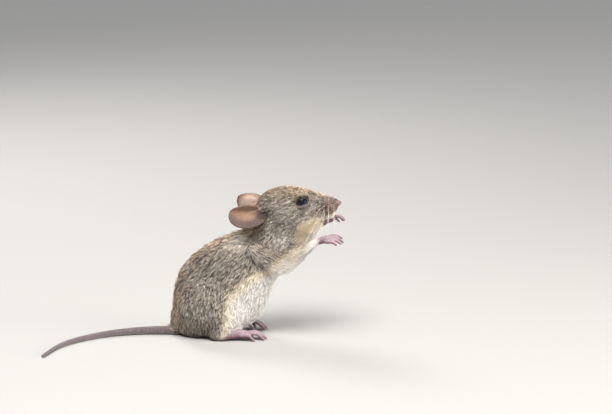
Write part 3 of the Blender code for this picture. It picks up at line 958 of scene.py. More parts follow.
        # painted shade in the ear's hollow
        hollow = self.spot(local, (5.6, 0.3, 0.0), (2.5, 1.5, 3.0)) * 1.3
        layers = (
            (self.ear_edge, bare),
            # painted light from above on the ear's upper part
            (self.ear_top, bare * smooth_step(local[:, 1], -0.5, 2.5)),
            (self.ear_middle, bare * middle * inside),
            # painted backlight shining through the ear's back
            (self.ear_back, bare * (1.0 - smooth_step(reach, 0.62, 0.95)) * (1.0 - inside)),
            (self.ear_rim, bare * smooth_step(reach, 0.88, 0.99) * 0.7),
            (self.ear_hollow, hollow * np.maximum(inside, smooth_step(local[:, 0], 3.4, 4.6))),
        )
        return self.painted(tint, layers)

    def muzzle(self, tint: Array, local: Array) -> Array:
        """Adds the nose, the nostrils in painted shade and the lip, by their place beside the middle of the
        nose pad.
        """
        layers = (
            (self.nose, self.spot(local, (0.2, 0.0, 0.1), (1.5, 1.6, 1.3)) * 1.3),
            (self.lip, self.spot(local, (-0.9, 0.0, -1.1), (0.85, 1.35, 0.6)) * 1.3),
            # painted shade in the nostrils
            (self.nostril, self.spot(mirrored(local), (0.2, 0.8, 0.05), (0.6, 0.34, 0.3)) * 1.3),
        )
        return self.painted(tint, layers)


# ---------------------------------------------------------------- the skin


@dataclass
class Flesh:
    """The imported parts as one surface, which knows the part under each of its faces."""

    nodes: dict
    names: tuple[str, ...] = ()
    owners: Array | None = None
    tree: BVHTree | None = None

    def __post_init__(self) -> None:
        """Joins the parts' surfaces for looking up."""
        self.names = tuple(sorted(self.nodes))
        whole = bmesh.new()
        owners = []
        for index, name in enumerate(self.names):
            before = len(whole.faces)
            whole.from_mesh(self.nodes[name].data)
            owners += [index] * (len(whole.faces) - before)
        self.owners = np.array(owners)
        self.tree = BVHTree.FromBMesh(whole)
        whole.free()

    def part_of(self, points: Array) -> Array:
        """The number of the nearest part for each point."""
        faces = [self.tree.find_nearest(point)[2] for point in points.tolist()]
        return self.owners[faces]

    def among(self, owners: Array, *starts: str) -> Array:
        """Which of these part numbers have a name that starts so."""
        return np.array([name.startswith(starts) for name in self.names])[owners]


@dataclass
class Places:
    """The skin's corners, with what the coat and the colours need at each of them."""

    flesh: Flesh
    points: Array
    normals: Array
    owners: Array
    flow: Array
    measures: Array
    tail: Array

    def among(self, *starts: str) -> Array:
        """Which corners lie at parts with a name that starts so."""
        return self.flesh.among(self.owners, *starts)


@dataclass(frozen=True)
class Opening:
    """The almond between the lids, in millimetres over the eyeball: along it, and across it."""

    half_length: float = 2.45
    upper: float = 1.25
    lower: float = 0.85
    point: float = 0.35
    steps: int = 64

    def border(self) -> Array:
        """Points around the opening."""
        turn = np.linspace(0.0, math.tau, self.steps, endpoint=False)
        height = np.where(np.sin(turn) > 0, self.upper, self.lower)
        across = height * np.sin(turn) * np.abs(np.sin(turn)) ** self.point
        return np.stack([self.half_length * np.cos(turn), across], 1)

    def outward(self) -> Array:
        """The direction away from the opening at each of those points."""
        border = self.border()
        along = unit(np.roll(border, -1, 0) - np.roll(border, 1, 0))
        return np.stack([along[:, 1], -along[:, 0]], 1)

    def distance(self, places: Array) -> Array:
        """How far places over the eyeball are outside the opening. Inside it this is negative."""
        border = self.border()
        apart = places[:, None, :] - border[None, :, :]
        far = np.linalg.norm(apart, axis=2)
        nearest = far.argmin(1)
        rows = np.arange(len(places))
        side = (apart[rows, nearest] * self.outward()[nearest]).sum(1)
        return np.where(side < 0, -1.0, 1.0) * far[rows, nearest]

    def gap(self, local: Array, radius: float) -> Array:
        """How far places beside an eyeball are outside the opening, measured over the ball.

        Args:
            local: The places in the eye's own millimetres.
            radius: The eyeball's radius.

        Returns:
            Millimetres, negative inside the opening.
        """
        away = np.maximum(np.linalg.norm(local, axis=1), TINY)
        round_ball = np.arccos(np.clip(local[:, 2] / away, -1.0, 1.0)) * radius
        return self.distance(unit(local[:, :2]) * round_ball[:, None])


@dataclass
class Skin:
    """The one skin around all the flesh, with the face, ears, paws and tail in it.

    The parts are grown a little so that they run together, remeshed, smoothed and moved in by the coat's
    depth.
    """

    anatomy: Anatomy
    markings: Markings
    flesh: Flesh
    guides: tuple[Guide, ...]
    opening: Opening = Opening()
    voxel: float = 0.185
    quick_coarseness: float = 1.35
    most: int = 185_000
    growth: float = 0.32
    growth_small: float = 0.20
    smoothing: int = 40
    firmness: float = 0.9
    evening: int = 25
    ear_depth: float = 0.10
    lid: float = 0.20
    socket: float = 0.9
    downward: float = 0.28
    depth_rounds: int = 3
    last_rounds: int = 6
    last_hold: float = 0.2
    last_hold_fine: float = 0.85
    eye_reach: float = 6.0
    eye_back: float = -0.8
    lid_edge: tuple[float, float] = (0.05, 0.32)
    lid_fade: tuple[float, float] = (0.9, 2.6)
    nostril: Triple = (0.2, 0.78, 0.05)
    nostril_radii: Triple = (0.9, 0.36, 0.32)
    nostril_depth: float = 0.45
    cleft_width: float = 0.2
    cleft_depth: float = 0.22
    mouth_forward: tuple[float, ...] = (-8.0, -3.9, -1.4)
    mouth_upward: tuple[float, ...] = (-4.75, -4.2, -2.05)
    mouth_width: float = 0.24
    mouth_depth: float = 0.16
    ridge_low: float = 0.16
    ridge_high: float = 0.20

    def grown_by(self, name: str) -> float:
        """How far a part is grown so that it meets its neighbours, in millimetres."""
        if name.startswith(("ear", "forepaw", "hind_foot")):
            return 0.0
        return self.growth_small if name.startswith(("tail", "nose")) else self.growth

    def grown(self) -> bpy.types.Mesh:
        """Copies of all the parts, grown and joined."""
        copies = []
        for name in self.flesh.names:
            part = bmesh.new()
            part.from_mesh(self.flesh.nodes[name].data)
            bmesh.ops.remove_doubles(part, verts=part.verts, dist=1e-6)
            part.normal_update()
            for vertex in part.verts:
                vertex.co += vertex.normal * self.grown_by(name) * MM
            copies.append(as_mesh(name + "_copy", part))
        return joined(copies)

    def places(self, surface: Surface, owners: Array) -> Places:
        """Reads the lie and the measures of the coat off the guides.

        Args:
            surface: The skin's surface.
            owners: The part number of each corner.

        Returns:
            The skin's corners with flow and measures, evened out over it.
        """
        points, normals = surface.points, surface.normals
        flow = np.zeros_like(points)
        measures = np.zeros((len(points), 4))
        tail = np.zeros(len(points))
        for guide in self.guides:
            mine = self.flesh.among(owners, *guide.parts)
            share, heading = guide.follow(points[mine])
            flow[mine] = heading
            measures[mine] = guide.measures(share)
            if guide.parts == ("tail",):
                tail[mine] = share * guide.length() / MM
        trunk = self.flesh.among(owners, "neck", "chest", "hindquarters", "hind_leg", "head", "lower_jaw")
        sideways = np.abs(normals[:, 1])
        flow[trunk, 2] -= (self.downward * sideways)[trunk]
        flow = laid(unit(surface.eased(flow, self.evening)), normals)
        measures = surface.eased(measures, self.evening)
        return Places(self.flesh, points, normals, owners, flow, measures, tail)

    def moved_in(self, surface: Surface, place: Places) -> Array:
        """The skin's corners, moved in by the growth and the coat's depth."""
        grown = np.array([self.grown_by(name) for name in self.flesh.names])[place.owners]
        depth = surface.eased(grown, self.evening) + place.measures[:, 0]
        ears = place.among("ear")
        depth[ears] = np.minimum(depth[ears], self.ear_depth)
        depth = surface.eased(depth, self.depth_rounds, np.where(ears, 1.0, 0.0))
        moved = place.points - place.normals * depth[:, None] * MM
        fine = place.among("ear", "forepaw", "hind_foot", "tail")
        return surface.eased(moved, self.last_rounds, np.where(fine, self.last_hold_fine, self.last_hold))

    def open_eye(self, points: Array, side: Side) -> Array:
        """Lays the lids over an eyeball and takes the skin of the opening in behind it."""
        axes = self.anatomy.eye(side)
        local = axes.local(points)
        away = np.linalg.norm(local, axis=1)
        near = np.nonzero((away < self.eye_reach) & (local[:, 2] > self.eye_back))[0]
        reach, radius = away[near], self.anatomy.eye_radius
        gap = self.opening.gap(local[near], radius)
        lid = radius - self.socket + (self.socket + self.lid) * smooth_step(gap, *self.lid_edge)
        share = 1.0 - smooth_step(gap, *self.lid_fade)
        target = reach + (lid - reach) * share
        result = points.copy()
        centre = np.array(axes.origin)
        result[near] = centre + (points[near] - centre) * (target / reach)[:, None]
        return result

    def shape_muzzle(self, points: Array) -> Array:
        """Sinks the nostrils, the cleft under the nose and the line of the mouth."""
        head = self.anatomy.head()
        local = head.local(points) - self.anatomy.nose()
        result = points.copy()
        forward, up = np.array(head.first), np.array(head.third)
        ahead, beside, over = self.nostril
        for side in Side:
            spot = self.markings.spot(local, (ahead, beside * side.value, over), self.nostril_radii)
            inward = forward * 0.9 + np.array(head.second) * side.value * 0.4
            result -= inward * (spot * self.nostril_depth * MM)[:, None]
        cleft = ridge(local[:, 1], self.cleft_width) * smooth_step(local[:, 0], -1.7, -0.9)
        cleft *= between(-local[:, 2], 0.4, 0.9, 1.6, 2.2)
        result -= forward * (cleft * self.cleft_depth * MM)[:, None]
        mouth = np.interp(local[:, 0], self.mouth_forward, self.mouth_upward)
        line = ridge(local[:, 2] - mouth, self.mouth_width) * between(local[:, 0], -8.3, -6.9, -0.9, -0.3)
        result += up * (line * self.mouth_depth * MM)[:, None]
        return result

    def fold_ear(self, points: Array, side: Side) -> Array:
        """Raises the ridges inside an ear's cup."""
        axes = self.anatomy.ear(side)
        local = axes.local(points)
        near = (np.abs(local[:, 0]) < 8.0) & (np.abs(local[:, 1]) < 6.0) & (np.abs(local[:, 2]) < 4.0)
        low = ridge(local[:, 1] + 2.3 + 0.05 * local[:, 0] ** 2, 0.32)
        low *= between(local[:, 0], -1.5, 0.5, 3.6, 4.8)
        high = ridge(local[:, 1] - 1.7 - 0.18 * (local[:, 0] - 2.0), 0.35)
        high *= between(local[:, 0], 0.6, 2.2, 4.6, 5.6)
        lift = np.where(near, low * self.ridge_low + high * self.ridge_high, 0.0)
        return points + np.array(axes.third) * (lift * MM)[:, None]

    def build(self) -> tuple[bpy.types.Mesh, Places]:
        """Makes the skin.

        Returns:
            The skin's mesh, and its corners as places.
        """
        voxel = self.voxel * 1.0 * MM
        mesh = shaped(self.grown(), "REMESH", mode="VOXEL", voxel_size=voxel)
        surface = Surface.of(mesh)
        owners = self.flesh.part_of(surface.points)
        fine = self.flesh.among(owners, "ear", "forepaw", "hind_foot", "tail", "nose")
        smooth = surface.eased(surface.points, self.smoothing, np.where(fine, self.firmness, 0.0))
        mesh.vertices.foreach_set("co", smooth.astype(np.float32).ravel())
        mesh.update()
        surface = Surface.of(mesh)
        place = self.places(surface, owners)
        points = self.moved_in(surface, place)
        for side in Side:
            points = self.open_eye(points, side)
            points = self.fold_ear(points, side)
        points = self.shape_muzzle(points)
        mesh.vertices.foreach_set("co", points.astype(np.float32).ravel())
        mesh.update()
        ratio = min(1.0, self.most / (2.0 * len(mesh.polygons)))
        mesh = shaped(mesh, "DECIMATE", ratio=ratio)
        return mesh, self.taken(place, points, mesh)

    def taken(self, place: Places, points: Array, mesh: bpy.types.Mesh) -> Places:
        """The places of a thinned skin, each taken from the nearest corner of the full one."""
        tree = KDTree(len(points))
        for index, point in enumerate(points.tolist()):
            tree.insert(point, index)
        tree.balance()
        surface = Surface.of(mesh)
        nearest = [tree.find(point)[1] for point in surface.points.tolist()]
        normals = surface.normals
        flow = laid(place.flow[nearest], normals)
        owners, measures, tail = place.owners[nearest], place.measures[nearest], place.tail[nearest]
        return Places(self.flesh, surface.points, normals, owners, flow, measures, tail)

    def dress(self, mesh: bpy.types.Mesh, place: Places) -> bpy.types.Object:
        """Colours the skin and makes it the piece that replaces the flesh."""
        set_attribute(mesh, "tint", self.markings.skin(place, self.anatomy))
        set_attribute(mesh, "along_tail", place.tail)
        piece = add_piece("skin", mesh, SkinFinish("skin"))
        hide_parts(*[name for name in self.flesh.names if not name.startswith("eye")])
        return piece


# ---------------------------------------------------------------- eyes, claws and whiskers


def tube(loops: list[list[Vector]], closed: bool) -> bpy.types.Mesh:
    """A shell over a row of loops.

    Args:
        loops: The loops' corners, as many in each.
        closed: Whether the last loop runs on into the first. Otherwise both ends are filled.

    Returns:
        The mesh.
    """
    shell = bmesh.new()
    rings = []
    for loop in loops:
        corners = bmesh.ops.create_circle(shell, segments=len(loop), radius=1.0)["verts"]
        for corner, point in zip(corners, loop):
            corner.co = point
        rings.append(list(dict.fromkeys(edge for corner in corners for edge in corner.link_edges)))
    for ring, following in zip(rings, rings[1:] + rings[:1] if closed else rings[1:]):
        bmesh.ops.bridge_loops(shell, edges=ring + following)
    if not closed:
        bmesh.ops.edgeloop_fill(shell, edges=rings[0])
        bmesh.ops.edgeloop_fill(shell, edges=rings[-1])
    bmesh.ops.recalc_face_normals(shell, faces=shell.faces)
    return as_mesh("tube", shell)


def taper(
    start: Vector, way: Vector, bend: Vector, length: float, girth: float, stops: int, sides: int
) -> bpy.types.Mesh:
    """A bent, pointed rod.

    Args:
        start: The middle of its thick end.
        way: The direction in which it sets out, of length 1.
        bend: How far its tip is carried off to one side, in metres.
        length: Its length in millimetres.
        girth: Its radius at the thick end, in millimetres.
        stops: How many loops it has.
        sides: How many corners each loop has.

    Returns:
        The mesh.
    """
    side = way.cross(bend).normalized() if bend.length > 0 else way.orthogonal().normalized()
    over = side.cross(way)
    loops = []
    for step in range(stops):
        share = step / (stops - 1)
        middle = start + way * (length * share * MM) + bend * share**2
        radius = girth * MM * (1.0 - share) ** 0.8 + 0.012 * MM
        turns = [math.tau * k / sides for k in range(sides)]
        loops.append([middle + (side * math.cos(t) + over * math.sin(t)) * radius for t in turns])
    return tube(loops, False)


@dataclass(frozen=True)
class Eye:
    """An eyeball and the rim of its lids."""

    side: Side
    anatomy: Anatomy
    opening: Opening = Opening()
    segments: int = 64
    rim: tuple[tuple[float, float], ...] = (
        (-0.05, -0.15),
        (-0.02, 0.04),
        (0.03, 0.15),
        (0.12, 0.24),
        (0.26, 0.27),
        (0.40, 0.16),
        (0.46, -0.10),
        (0.20, -0.25),
    )

    def ball(self) -> bpy.types.Object:
        """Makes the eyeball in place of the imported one."""
        shell = bmesh.new()
        radius = self.anatomy.eye_radius * MM
        axes = self.anatomy.eye(self.side)
        turns, bands = self.segments, self.segments // 2
        bmesh.ops.create_uvsphere(shell, u_segments=turns, v_segments=bands, radius=radius)
        turn = Matrix((axes.first, axes.second, axes.third)).transposed().to_4x4()
        bmesh.ops.transform(shell, matrix=Matrix.Translation(axes.origin) @ turn, verts=shell.verts)
        bmesh.ops.recalc_face_normals(shell, faces=shell.faces)
        name = "eyeball_" + self.side.label
        piece = add_piece(name, as_mesh(name, shell), EyeFinish(name))
        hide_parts("eye_" + self.side.label)
        return piece

    def over_ball(self, along: float, across: float, height: float) -> Vector:
        """The point that lies so far along and across the ball from its pole, and so high over it."""
        axes, radius = self.anatomy.eye(self.side), self.anatomy.eye_radius
        angle = math.hypot(along, across) / radius
        turn = math.atan2(across, along)
        reach, rise = (radius + height) * math.sin(angle), (radius + height) * math.cos(angle)
        return axes.place(reach * math.cos(turn), reach * math.sin(turn), rise)

    def lids(self) -> bpy.types.Object:
        """Makes the dark, slightly raised rim around the opening."""
        loops = []
        for (along, across), (out, up) in zip(self.opening.border(), self.opening.outward()):
            loops.append([self.over_ball(along + out * q, across + up * q, h) for q, h in self.rim])
        name = "lid_rim_" + self.side.label
        finish = HornFinish(name, light=(0.016, 0.011, 0.011), dark=(0.008, 0.006, 0.006), roughness=0.6)
        return add_piece(name, tube(loops, True), finish)


@dataclass(frozen=True)
class Claws:
    """The claws of all four feet, at the tips of the fingers and toes."""

    finger_length: float = 0.75
    toe_length: float = 0.95
    girth: float = 0.17
    droop: float = 0.55
    root: float = 0.25
    fingers_left: tuple = ((0.88, 0.10, 0.65), (0.94, 0.36, 0.52), (0.89, 0.67, 0.40), (0.73, 0.92, 0.25))
    fingers_right: tuple = ((0.925, 0.89, 0.61), (0.96, 0.58, 0.31), (0.89, 0.30, 0.24), (0.73, 0.10, 0.18))
    toes: tuple = ((0.74, 0.91), (0.94, 0.89), (0.975, 0.65), (0.94, 0.38), (0.77, 0.10))
    toe_height: float = 0.12
    toe_droop: float = 0.12

    def row(self, node: str, tips: tuple, length: float, droop: float) -> list[bpy.types.Mesh]:
        """The claws of one foot."""
        middle = at(node, 0.35, 0.5, 0.5)
        meshes = []
        for share in tips:
            tip = at(node, *share)
            way = tip - middle
            way = Vector((abs(way.x) + 0.002, way.y * 0.8, way.z * 0.5)).normalized()
            start = tip - way * self.root * MM
            bend = Vector((0.0, 0.0, -droop * length * MM))
            meshes.append(taper(start, way, bend, length + self.root, self.girth, 7, 8))
        return meshes

    def build(self) -> bpy.types.Object:
        """Makes the claws."""
        toes_right = tuple((x, y, self.toe_height) for x, y in self.toes)
        toes_left = tuple((x, 1.0 - y, self.toe_height) for x, y in self.toes)
        meshes = self.row("forepaw_left", self.fingers_left, self.finger_length, self.droop)
        meshes += self.row("forepaw_right", self.fingers_right, self.finger_length, self.droop)
        meshes += self.row("hind_foot_right", toes_right, self.toe_length, self.toe_droop)
        meshes += self.row("hind_foot_left", toes_left, self.toe_length, self.toe_droop)
        return add_piece("claws", joined(meshes), HornFinish("claws"))


@dataclass(frozen=True)
class Whiskers:
    """Fine pale whiskers in rows on the sides of the muzzle, longer toward the back."""

    anatomy: Anatomy
    shortest: float = 6.0
    longest: float = 15.0
    rows: int = 4
    columns: int = 4
    girth: float = 0.045
    front: Triple = (10.9, 1.9, -1.4)
    backward: float = 4.2
    widening: float = 1.1
    lowering: float = 2.4

    def build(self) -> bpy.types.Object:
        """Makes the whiskers."""
        head = self.anatomy.head()
        rng = np.random.default_rng(SEED)
        ahead, beside, over = self.front
        meshes = []
        for side, row, column in product(Side, range(self.rows), range(self.columns)):
            back, low = column / (self.columns - 1), row / (self.rows - 1)
            outer = side.value * (beside + self.widening * back)
            start = head.place(ahead - self.backward * back, outer, over - self.lowering * low)
            length = self.shortest + (self.longest - self.shortest) * (0.25 + 0.75 * back)
            length *= rng.uniform(0.85, 1.1)
            outward = head.second * side.value * rng.uniform(0.75, 0.95)
            way = outward + head.first * (0.30 - 0.45 * back) + head.third * (0.12 - 0.95 * low)
            bend = (-head.first * 0.12 - head.third * rng.uniform(0.12, 0.3)) * length * MM
            meshes.append(taper(start, way.normalized(), bend, length, self.girth, 11, 5))
        finish = HornFinish("whiskers", light=(0.78, 0.74, 0.68), dark=(0.45, 0.40, 0.35), roughness=0.3)
        return add_piece("whiskers", joined(meshes), finish)


# ---------------------------------------------------------------- the coat


@dataclass(frozen=True)
class TuftShape:
    """The pattern of one tuft: a closed spike of three-sided rings, with its base and its tip."""

    stops: tuple[float, ...]
    girths: tuple[float, ...]

    @property
    def corners(self) -> int:
        """How many corners a tuft has."""
        return 3 * len(self.stops) + 1

    @property
    def most(self) -> int:
        """How many tufts a piece may have."""
        return MOST_TRIANGLES // (6 * len(self.stops) - 2)

    def faces(self) -> tuple[Array, Array]:
        """The tuft's triangles and the places of their corners on the tuft's patch of the map.

        Returns:
            Three corners a triangle, and three pairs from 0 to 1 a triangle.
        """
        triangles = [(0, 2, 1)]
        places = [((0.0, 0.0), (0.5, 0.09), (1.0, 0.0))]
        heights = [0.1 + 0.9 * stop for stop in self.stops] + [1.0]
        for ring in range(len(self.stops)):
            for side in range(3):
                start, end = side / 3.0, (side + 1) / 3.0
                low, high = heights[ring], heights[ring + 1]
                a, b = 3 * ring + side, 3 * ring + (side + 1) % 3
                if ring + 1 == len(self.stops):
                    triangles.append((a, b, self.corners - 1))
                    places.append(((start, low), (end, low), ((start + end) / 2, high)))
                    continue
                triangles += [(a, b, b + 3), (a, b + 3, a + 3)]
                places.append(((start, low), (end, low), (end, high)))
                places.append(((start, low), (end, high), (start, high)))
        return np.array(triangles), np.array(places)


@dataclass
class Roots:
    """Where the tufts grow: their places with all that the skin says about them there."""

    points: Array
    normals: Array
    flow: Array
    measures: Array
    owners: Array

    def chosen(self, mask: Array) -> "Roots":
        """Some of the roots."""
        values = (self.points, self.normals, self.flow, self.measures, self.owners)
        return Roots(*[value[mask] for value in values])


@dataclass
class Coat:
    """The coat: closed tufts laid along the body and drawn together in small locks."""

    anatomy: Anatomy
    markings: Markings
    place: Places
    mesh: bpy.types.Mesh
    opening: Opening = Opening()
    thickness: float = 0.5
    lock_spacing: float = 0.72
    lock_pull: float = 0.6
    unevenness: float = 0.22
    wild: float = 0.10
    streak: float = 1.0
    streak_spacing: float = 0.58
    patch: float = 0.003
    nose_bald: float = 1.45
    lip_bald: float = 0.9
    eye_bald: float = 0.32
    sole_slope: float = -0.2
    lift_range: tuple[float, float] = (0.55, 1.05)
    wild_lift: float = 1.5
    lock_reach: float = 2.0
    lock_scatter: float = 0.12
    pale_loosening: float = 0.7
    stray_wide: float = 0.13
    stray_fine: float = 0.10
    root_depth: float = 0.12
    least_lift: float = 0.14
    floor_gap: float = 0.03
    quick_share: float = 0.3
    quick_girth: float = 1.6
    heights: tuple[float, ...] = (0.0, 0.4, 0.75, 1.0)
    light: Colour = (0.640, 0.540, 0.410)
    long_tuft: TuftShape = TuftShape((0.0, 0.38, 0.72), (0.75, 1.0, 0.62))
    short_tuft: TuftShape = TuftShape((0.0, 0.5), (0.85, 0.9))

    def __post_init__(self) -> None:
        """Sets up the surface for looking up, and the random numbers."""
        self.surface = Surface.of(self.mesh)
        self.tree = BVHTree.FromPolygons(self.surface.points.tolist(), self.surface.triangles.tolist())
        self.rng = np.random.default_rng(SEED)

    def bald(self, points: Array, normals: Array, owners: Array) -> Array:
        """Which places carry no hair: eyes, nose, lips, palms and soles."""
        head = self.anatomy.head()
        local = head.local(points) - self.anatomy.nose()
        bald = self.place.flesh.among(owners, "nose")
        bald |= np.linalg.norm(local - np.array((0.1, 0.0, 0.0)), axis=1) < self.nose_bald
        lip = (local - np.array((-0.9, 0.0, -1.1))) * (1.0, 0.7, 1.0)
        bald |= np.linalg.norm(lip, axis=1) < self.lip_bald
        for side in Side:
            ear = self.anatomy.ear(side).local(points)
            cup = np.hypot((ear[:, 0] - 5.8) / 2.4, (ear[:, 1] - 0.3) / 1.4)
            bald |= (cup < 1.0) & (np.abs(ear[:, 2]) < 3.0)
            eye = self.anatomy.eye(side).local(points)
            close = np.nonzero((np.linalg.norm(eye, axis=1) < 4.0) & (eye[:, 2] > 0.0))[0]
            bald[close] |= self.opening.gap(eye[close], self.anatomy.eye_radius) < self.eye_bald
        below = normals[:, 2] < self.sole_slope
        return bald | (self.place.flesh.among(owners, "forepaw", "hind_foot") & below)

    def sow(self) -> Roots:
        """Spreads the roots over the skin, as densely as the guides say."""
        place, triangles = self.place, self.surface.triangles
        corners = place.points[triangles]
        area = np.linalg.norm(np.cross(corners[:, 1] - corners[:, 0], corners[:, 2] - corners[:, 0]), axis=1)
        density = place.measures[triangles, 3].mean(1)
        amount = area / 2.0 / MM**2 * density * 1.0
        total = int(amount.sum())
        spots = (np.arange(total) + self.rng.random(total)) / total * amount.sum()
        face = np.minimum(np.searchsorted(np.cumsum(amount), spots), len(triangles) - 1)
        split = np.sort(self.rng.random((total, 2)), 1)
        weights = np.stack([split[:, 0], split[:, 1] - split[:, 0], 1.0 - split[:, 1]], 1)[:, :, None]
        picked = triangles[face]
        sources = (place.points, place.normals, place.flow, place.measures)
        points, normals, flow, measures = [(values[picked] * weights).sum(1) for values in sources]
        normals, flow = unit(normals), unit(flow)
        owners = place.owners[picked[:, 0]]
        roots = Roots(points, normals, flow, measures, owners)
        return roots.chosen(~self.bald(points, normals, owners))

    def over_skin(self, points: Array) -> tuple[Array, Array, Array]:
        """The nearest places on the skin, with its normals and the coat's flow there."""
        found = [self.tree.find_nearest(point) for point in points.tolist()]
        picked = self.surface.triangles[[hit[2] for hit in found]]
        normals = unit(self.place.normals[picked].mean(1))
        return np.array([hit[0] for hit in found]), normals, unit(self.place.flow[picked].mean(1))

    def bends(self, roots: Roots) -> Array:
        """Three points that each tuft bends along, from its root in the skin to its tip."""
        count = len(roots.points)
        depth, length = roots.measures[:, 0], roots.measures[:, 1]
        length = length * (1.0 + self.unevenness * self.rng.normal(size=count)).clip(0.5, 1.5)
        for side in Side:
            ear = self.anatomy.ear(side).local(roots.points)
            front = np.hypot((ear[:, 0] - 8.0) / 3.2, (ear[:, 1] - 0.3) / 2.4)
            length = length * (0.45 + 0.55 * smooth_step(front, 0.7, 1.2))
        across = np.cross(roots.normals, roots.flow)
        stray = self.stray_wide * cloud(roots.points, 2.5, 5.0)
        stray += self.stray_fine * self.rng.normal(size=count)
        way = unit(roots.flow + across * stray[:, None])
        half = (length * 0.5 * MM)[:, None]
        middle, over, onward = self.over_skin(roots.points + way * half)
        onward = unit(onward + np.cross(over, onward) * stray[:, None])
        end, above, _ = self.over_skin(middle + onward * half)
        lift = depth * self.rng.uniform(*self.lift_range, count)
        stand = self.rng.random(count) < self.wild
        lift = np.where(stand, lift * self.wild_lift + 0.15, lift)
        middle = middle + over * (np.maximum(lift * 0.8, 0.10) * MM)[:, None]
        end = end + above * (np.maximum(lift, self.least_lift) * MM)[:, None]
        start = roots.points - roots.normals * self.root_depth * MM
        return np.stack([start, middle, end], 1)

    def locks(self, roots: Roots, spacing: float, stretch: float) -> Array:
        """Gathers tufts into locks.

        Args:
            roots: The tufts' roots.
            spacing: How far apart locks are, in millimetres.
            stretch: How far they run on along the coat, as a share of a tuft's length.

        Returns:
            The number of the tuft at the middle of each tuft's lock.
        """
        share = 1.0 / (spacing**2 * np.maximum(roots.measures[:, 3], 1.0))
        heads = np.nonzero(self.rng.random(len(roots.points)) < share)[0]
        tree = KDTree(len(heads))
        for index, point in zip(heads.tolist(), roots.points[heads].tolist()):
            tree.insert(point, index)
        tree.balance()
        scatter = roots.points + self.rng.normal(size=roots.points.shape) * self.lock_scatter * MM
        onward = self.rng.uniform(-0.5, 0.5, len(roots.points)) * stretch * roots.measures[:, 1] * MM
        scatter += roots.flow * onward[:, None]
        return np.array([tree.find(point)[1] for point in scatter.tolist()])

    def colours(self, roots: Roots, locks: Array, stops: Array) -> Array:
        """The colours along each tuft.

        Args:
            roots: The tufts' roots.
            locks: The tuft at the middle of each one's lock.
            stops: The shares of the way to the tip at which colours are wanted.

        Returns:
            Tufts by stops by red, green and blue.
        """
        count = len(roots.points)
        tint = self.markings.coat(roots.points, roots.normals, self.anatomy)
        pale = self.markings.paleness(roots.points, self.anatomy)
        tone = 0.16 * cloud(roots.points, 3.0, 7.0) + 0.36 * self.rng.normal(size=count)[locks]
        tone = 1.0 + (tone + 0.16 * self.rng.normal(size=count)) * (1.0 - 0.8 * pale)
        kind = 0.4 * self.rng.random(count) + 0.6 * self.rng.random(count)[locks]
        # more fair and fewer dark tufts where the tint is lighter, which also strengthens the painted
        # highlights on shoulders and crown
        tint_lightness = smooth_step(tint.mean(1), 0.38, 0.75)
        dark = (kind < 0.34 - 0.12 * tint_lightness).astype(float) * (1.0 - pale)
        fair = (kind > 0.74 - 0.30 * tint_lightness).astype(float) * (1.0 - pale)
        plain = (1.0 - pale) * (1.0 - dark) * (1.0 - fair)
        shade = self.banded(stops, (dark, (0.30, 0.42, 0.26, 0.18)), (fair, (0.45, 1.15, 1.55, 1.75)))
        shade += self.banded(stops, (plain, (0.40, 0.95, 1.10, 0.85)))
        shade += self.banded(stops, (pale, (0.88, 0.97, 1.00, 1.02)))
        warm = self.banded(stops, (plain, (0.0, 0.10, 0.42, 0.12)), (fair, (0.0, 0.25, 0.65, 0.75)))
        warm *= (0.15 + 0.85 * smooth_step(tint.mean(1), 0.055, 0.13))[:, None]
        base = tint[:, None, :] * (shade * np.maximum(tone, 0.3)[:, None])[:, :, None]
        return np.clip(base + (np.array(self.light) - base) * warm[:, :, None], 0.004, 0.93)

    def banded(self, stops: Array, *kinds: tuple) -> Array:
        """Values along each tuft. Each kind has every tuft's share of it, and its values at the heights."""
        return sum(share[:, None] * np.interp(stops, self.heights, values) for share, values in kinds)

    def grow(self, roots: Roots, bends: Array, shape: TuftShape) -> Array:
        """The corners of every tuft: rings along its bend, flattened against the body, and its tip."""
        start, middle, end = bends[:, 0], bends[:, 1], bends[:, 2]
        girth = roots.measures[:, 2] * 1.0
        rings = []
        for stop, width in zip(shape.stops, shape.girths):
            point = start * (1 - stop) ** 2 + middle * (2 * stop * (1 - stop)) + end * stop**2
            along = unit((middle - start) * (1 - stop) + (end - middle) * stop)
            side = unit(np.cross(along, roots.normals))
            over = np.cross(side, along)
            for turn in (math.pi / 2, math.pi * 7 / 6, math.pi * 11 / 6):
                out = side * math.cos(turn) + over * (math.sin(turn) * self.thickness)
                rings.append(point + out * (girth * width * 0.5 * MM)[:, None])
        corners = np.stack(rings + [end], 1)
        corners[:, :, 2] = np.maximum(corners[:, :, 2], self.floor_gap * MM)
        return corners

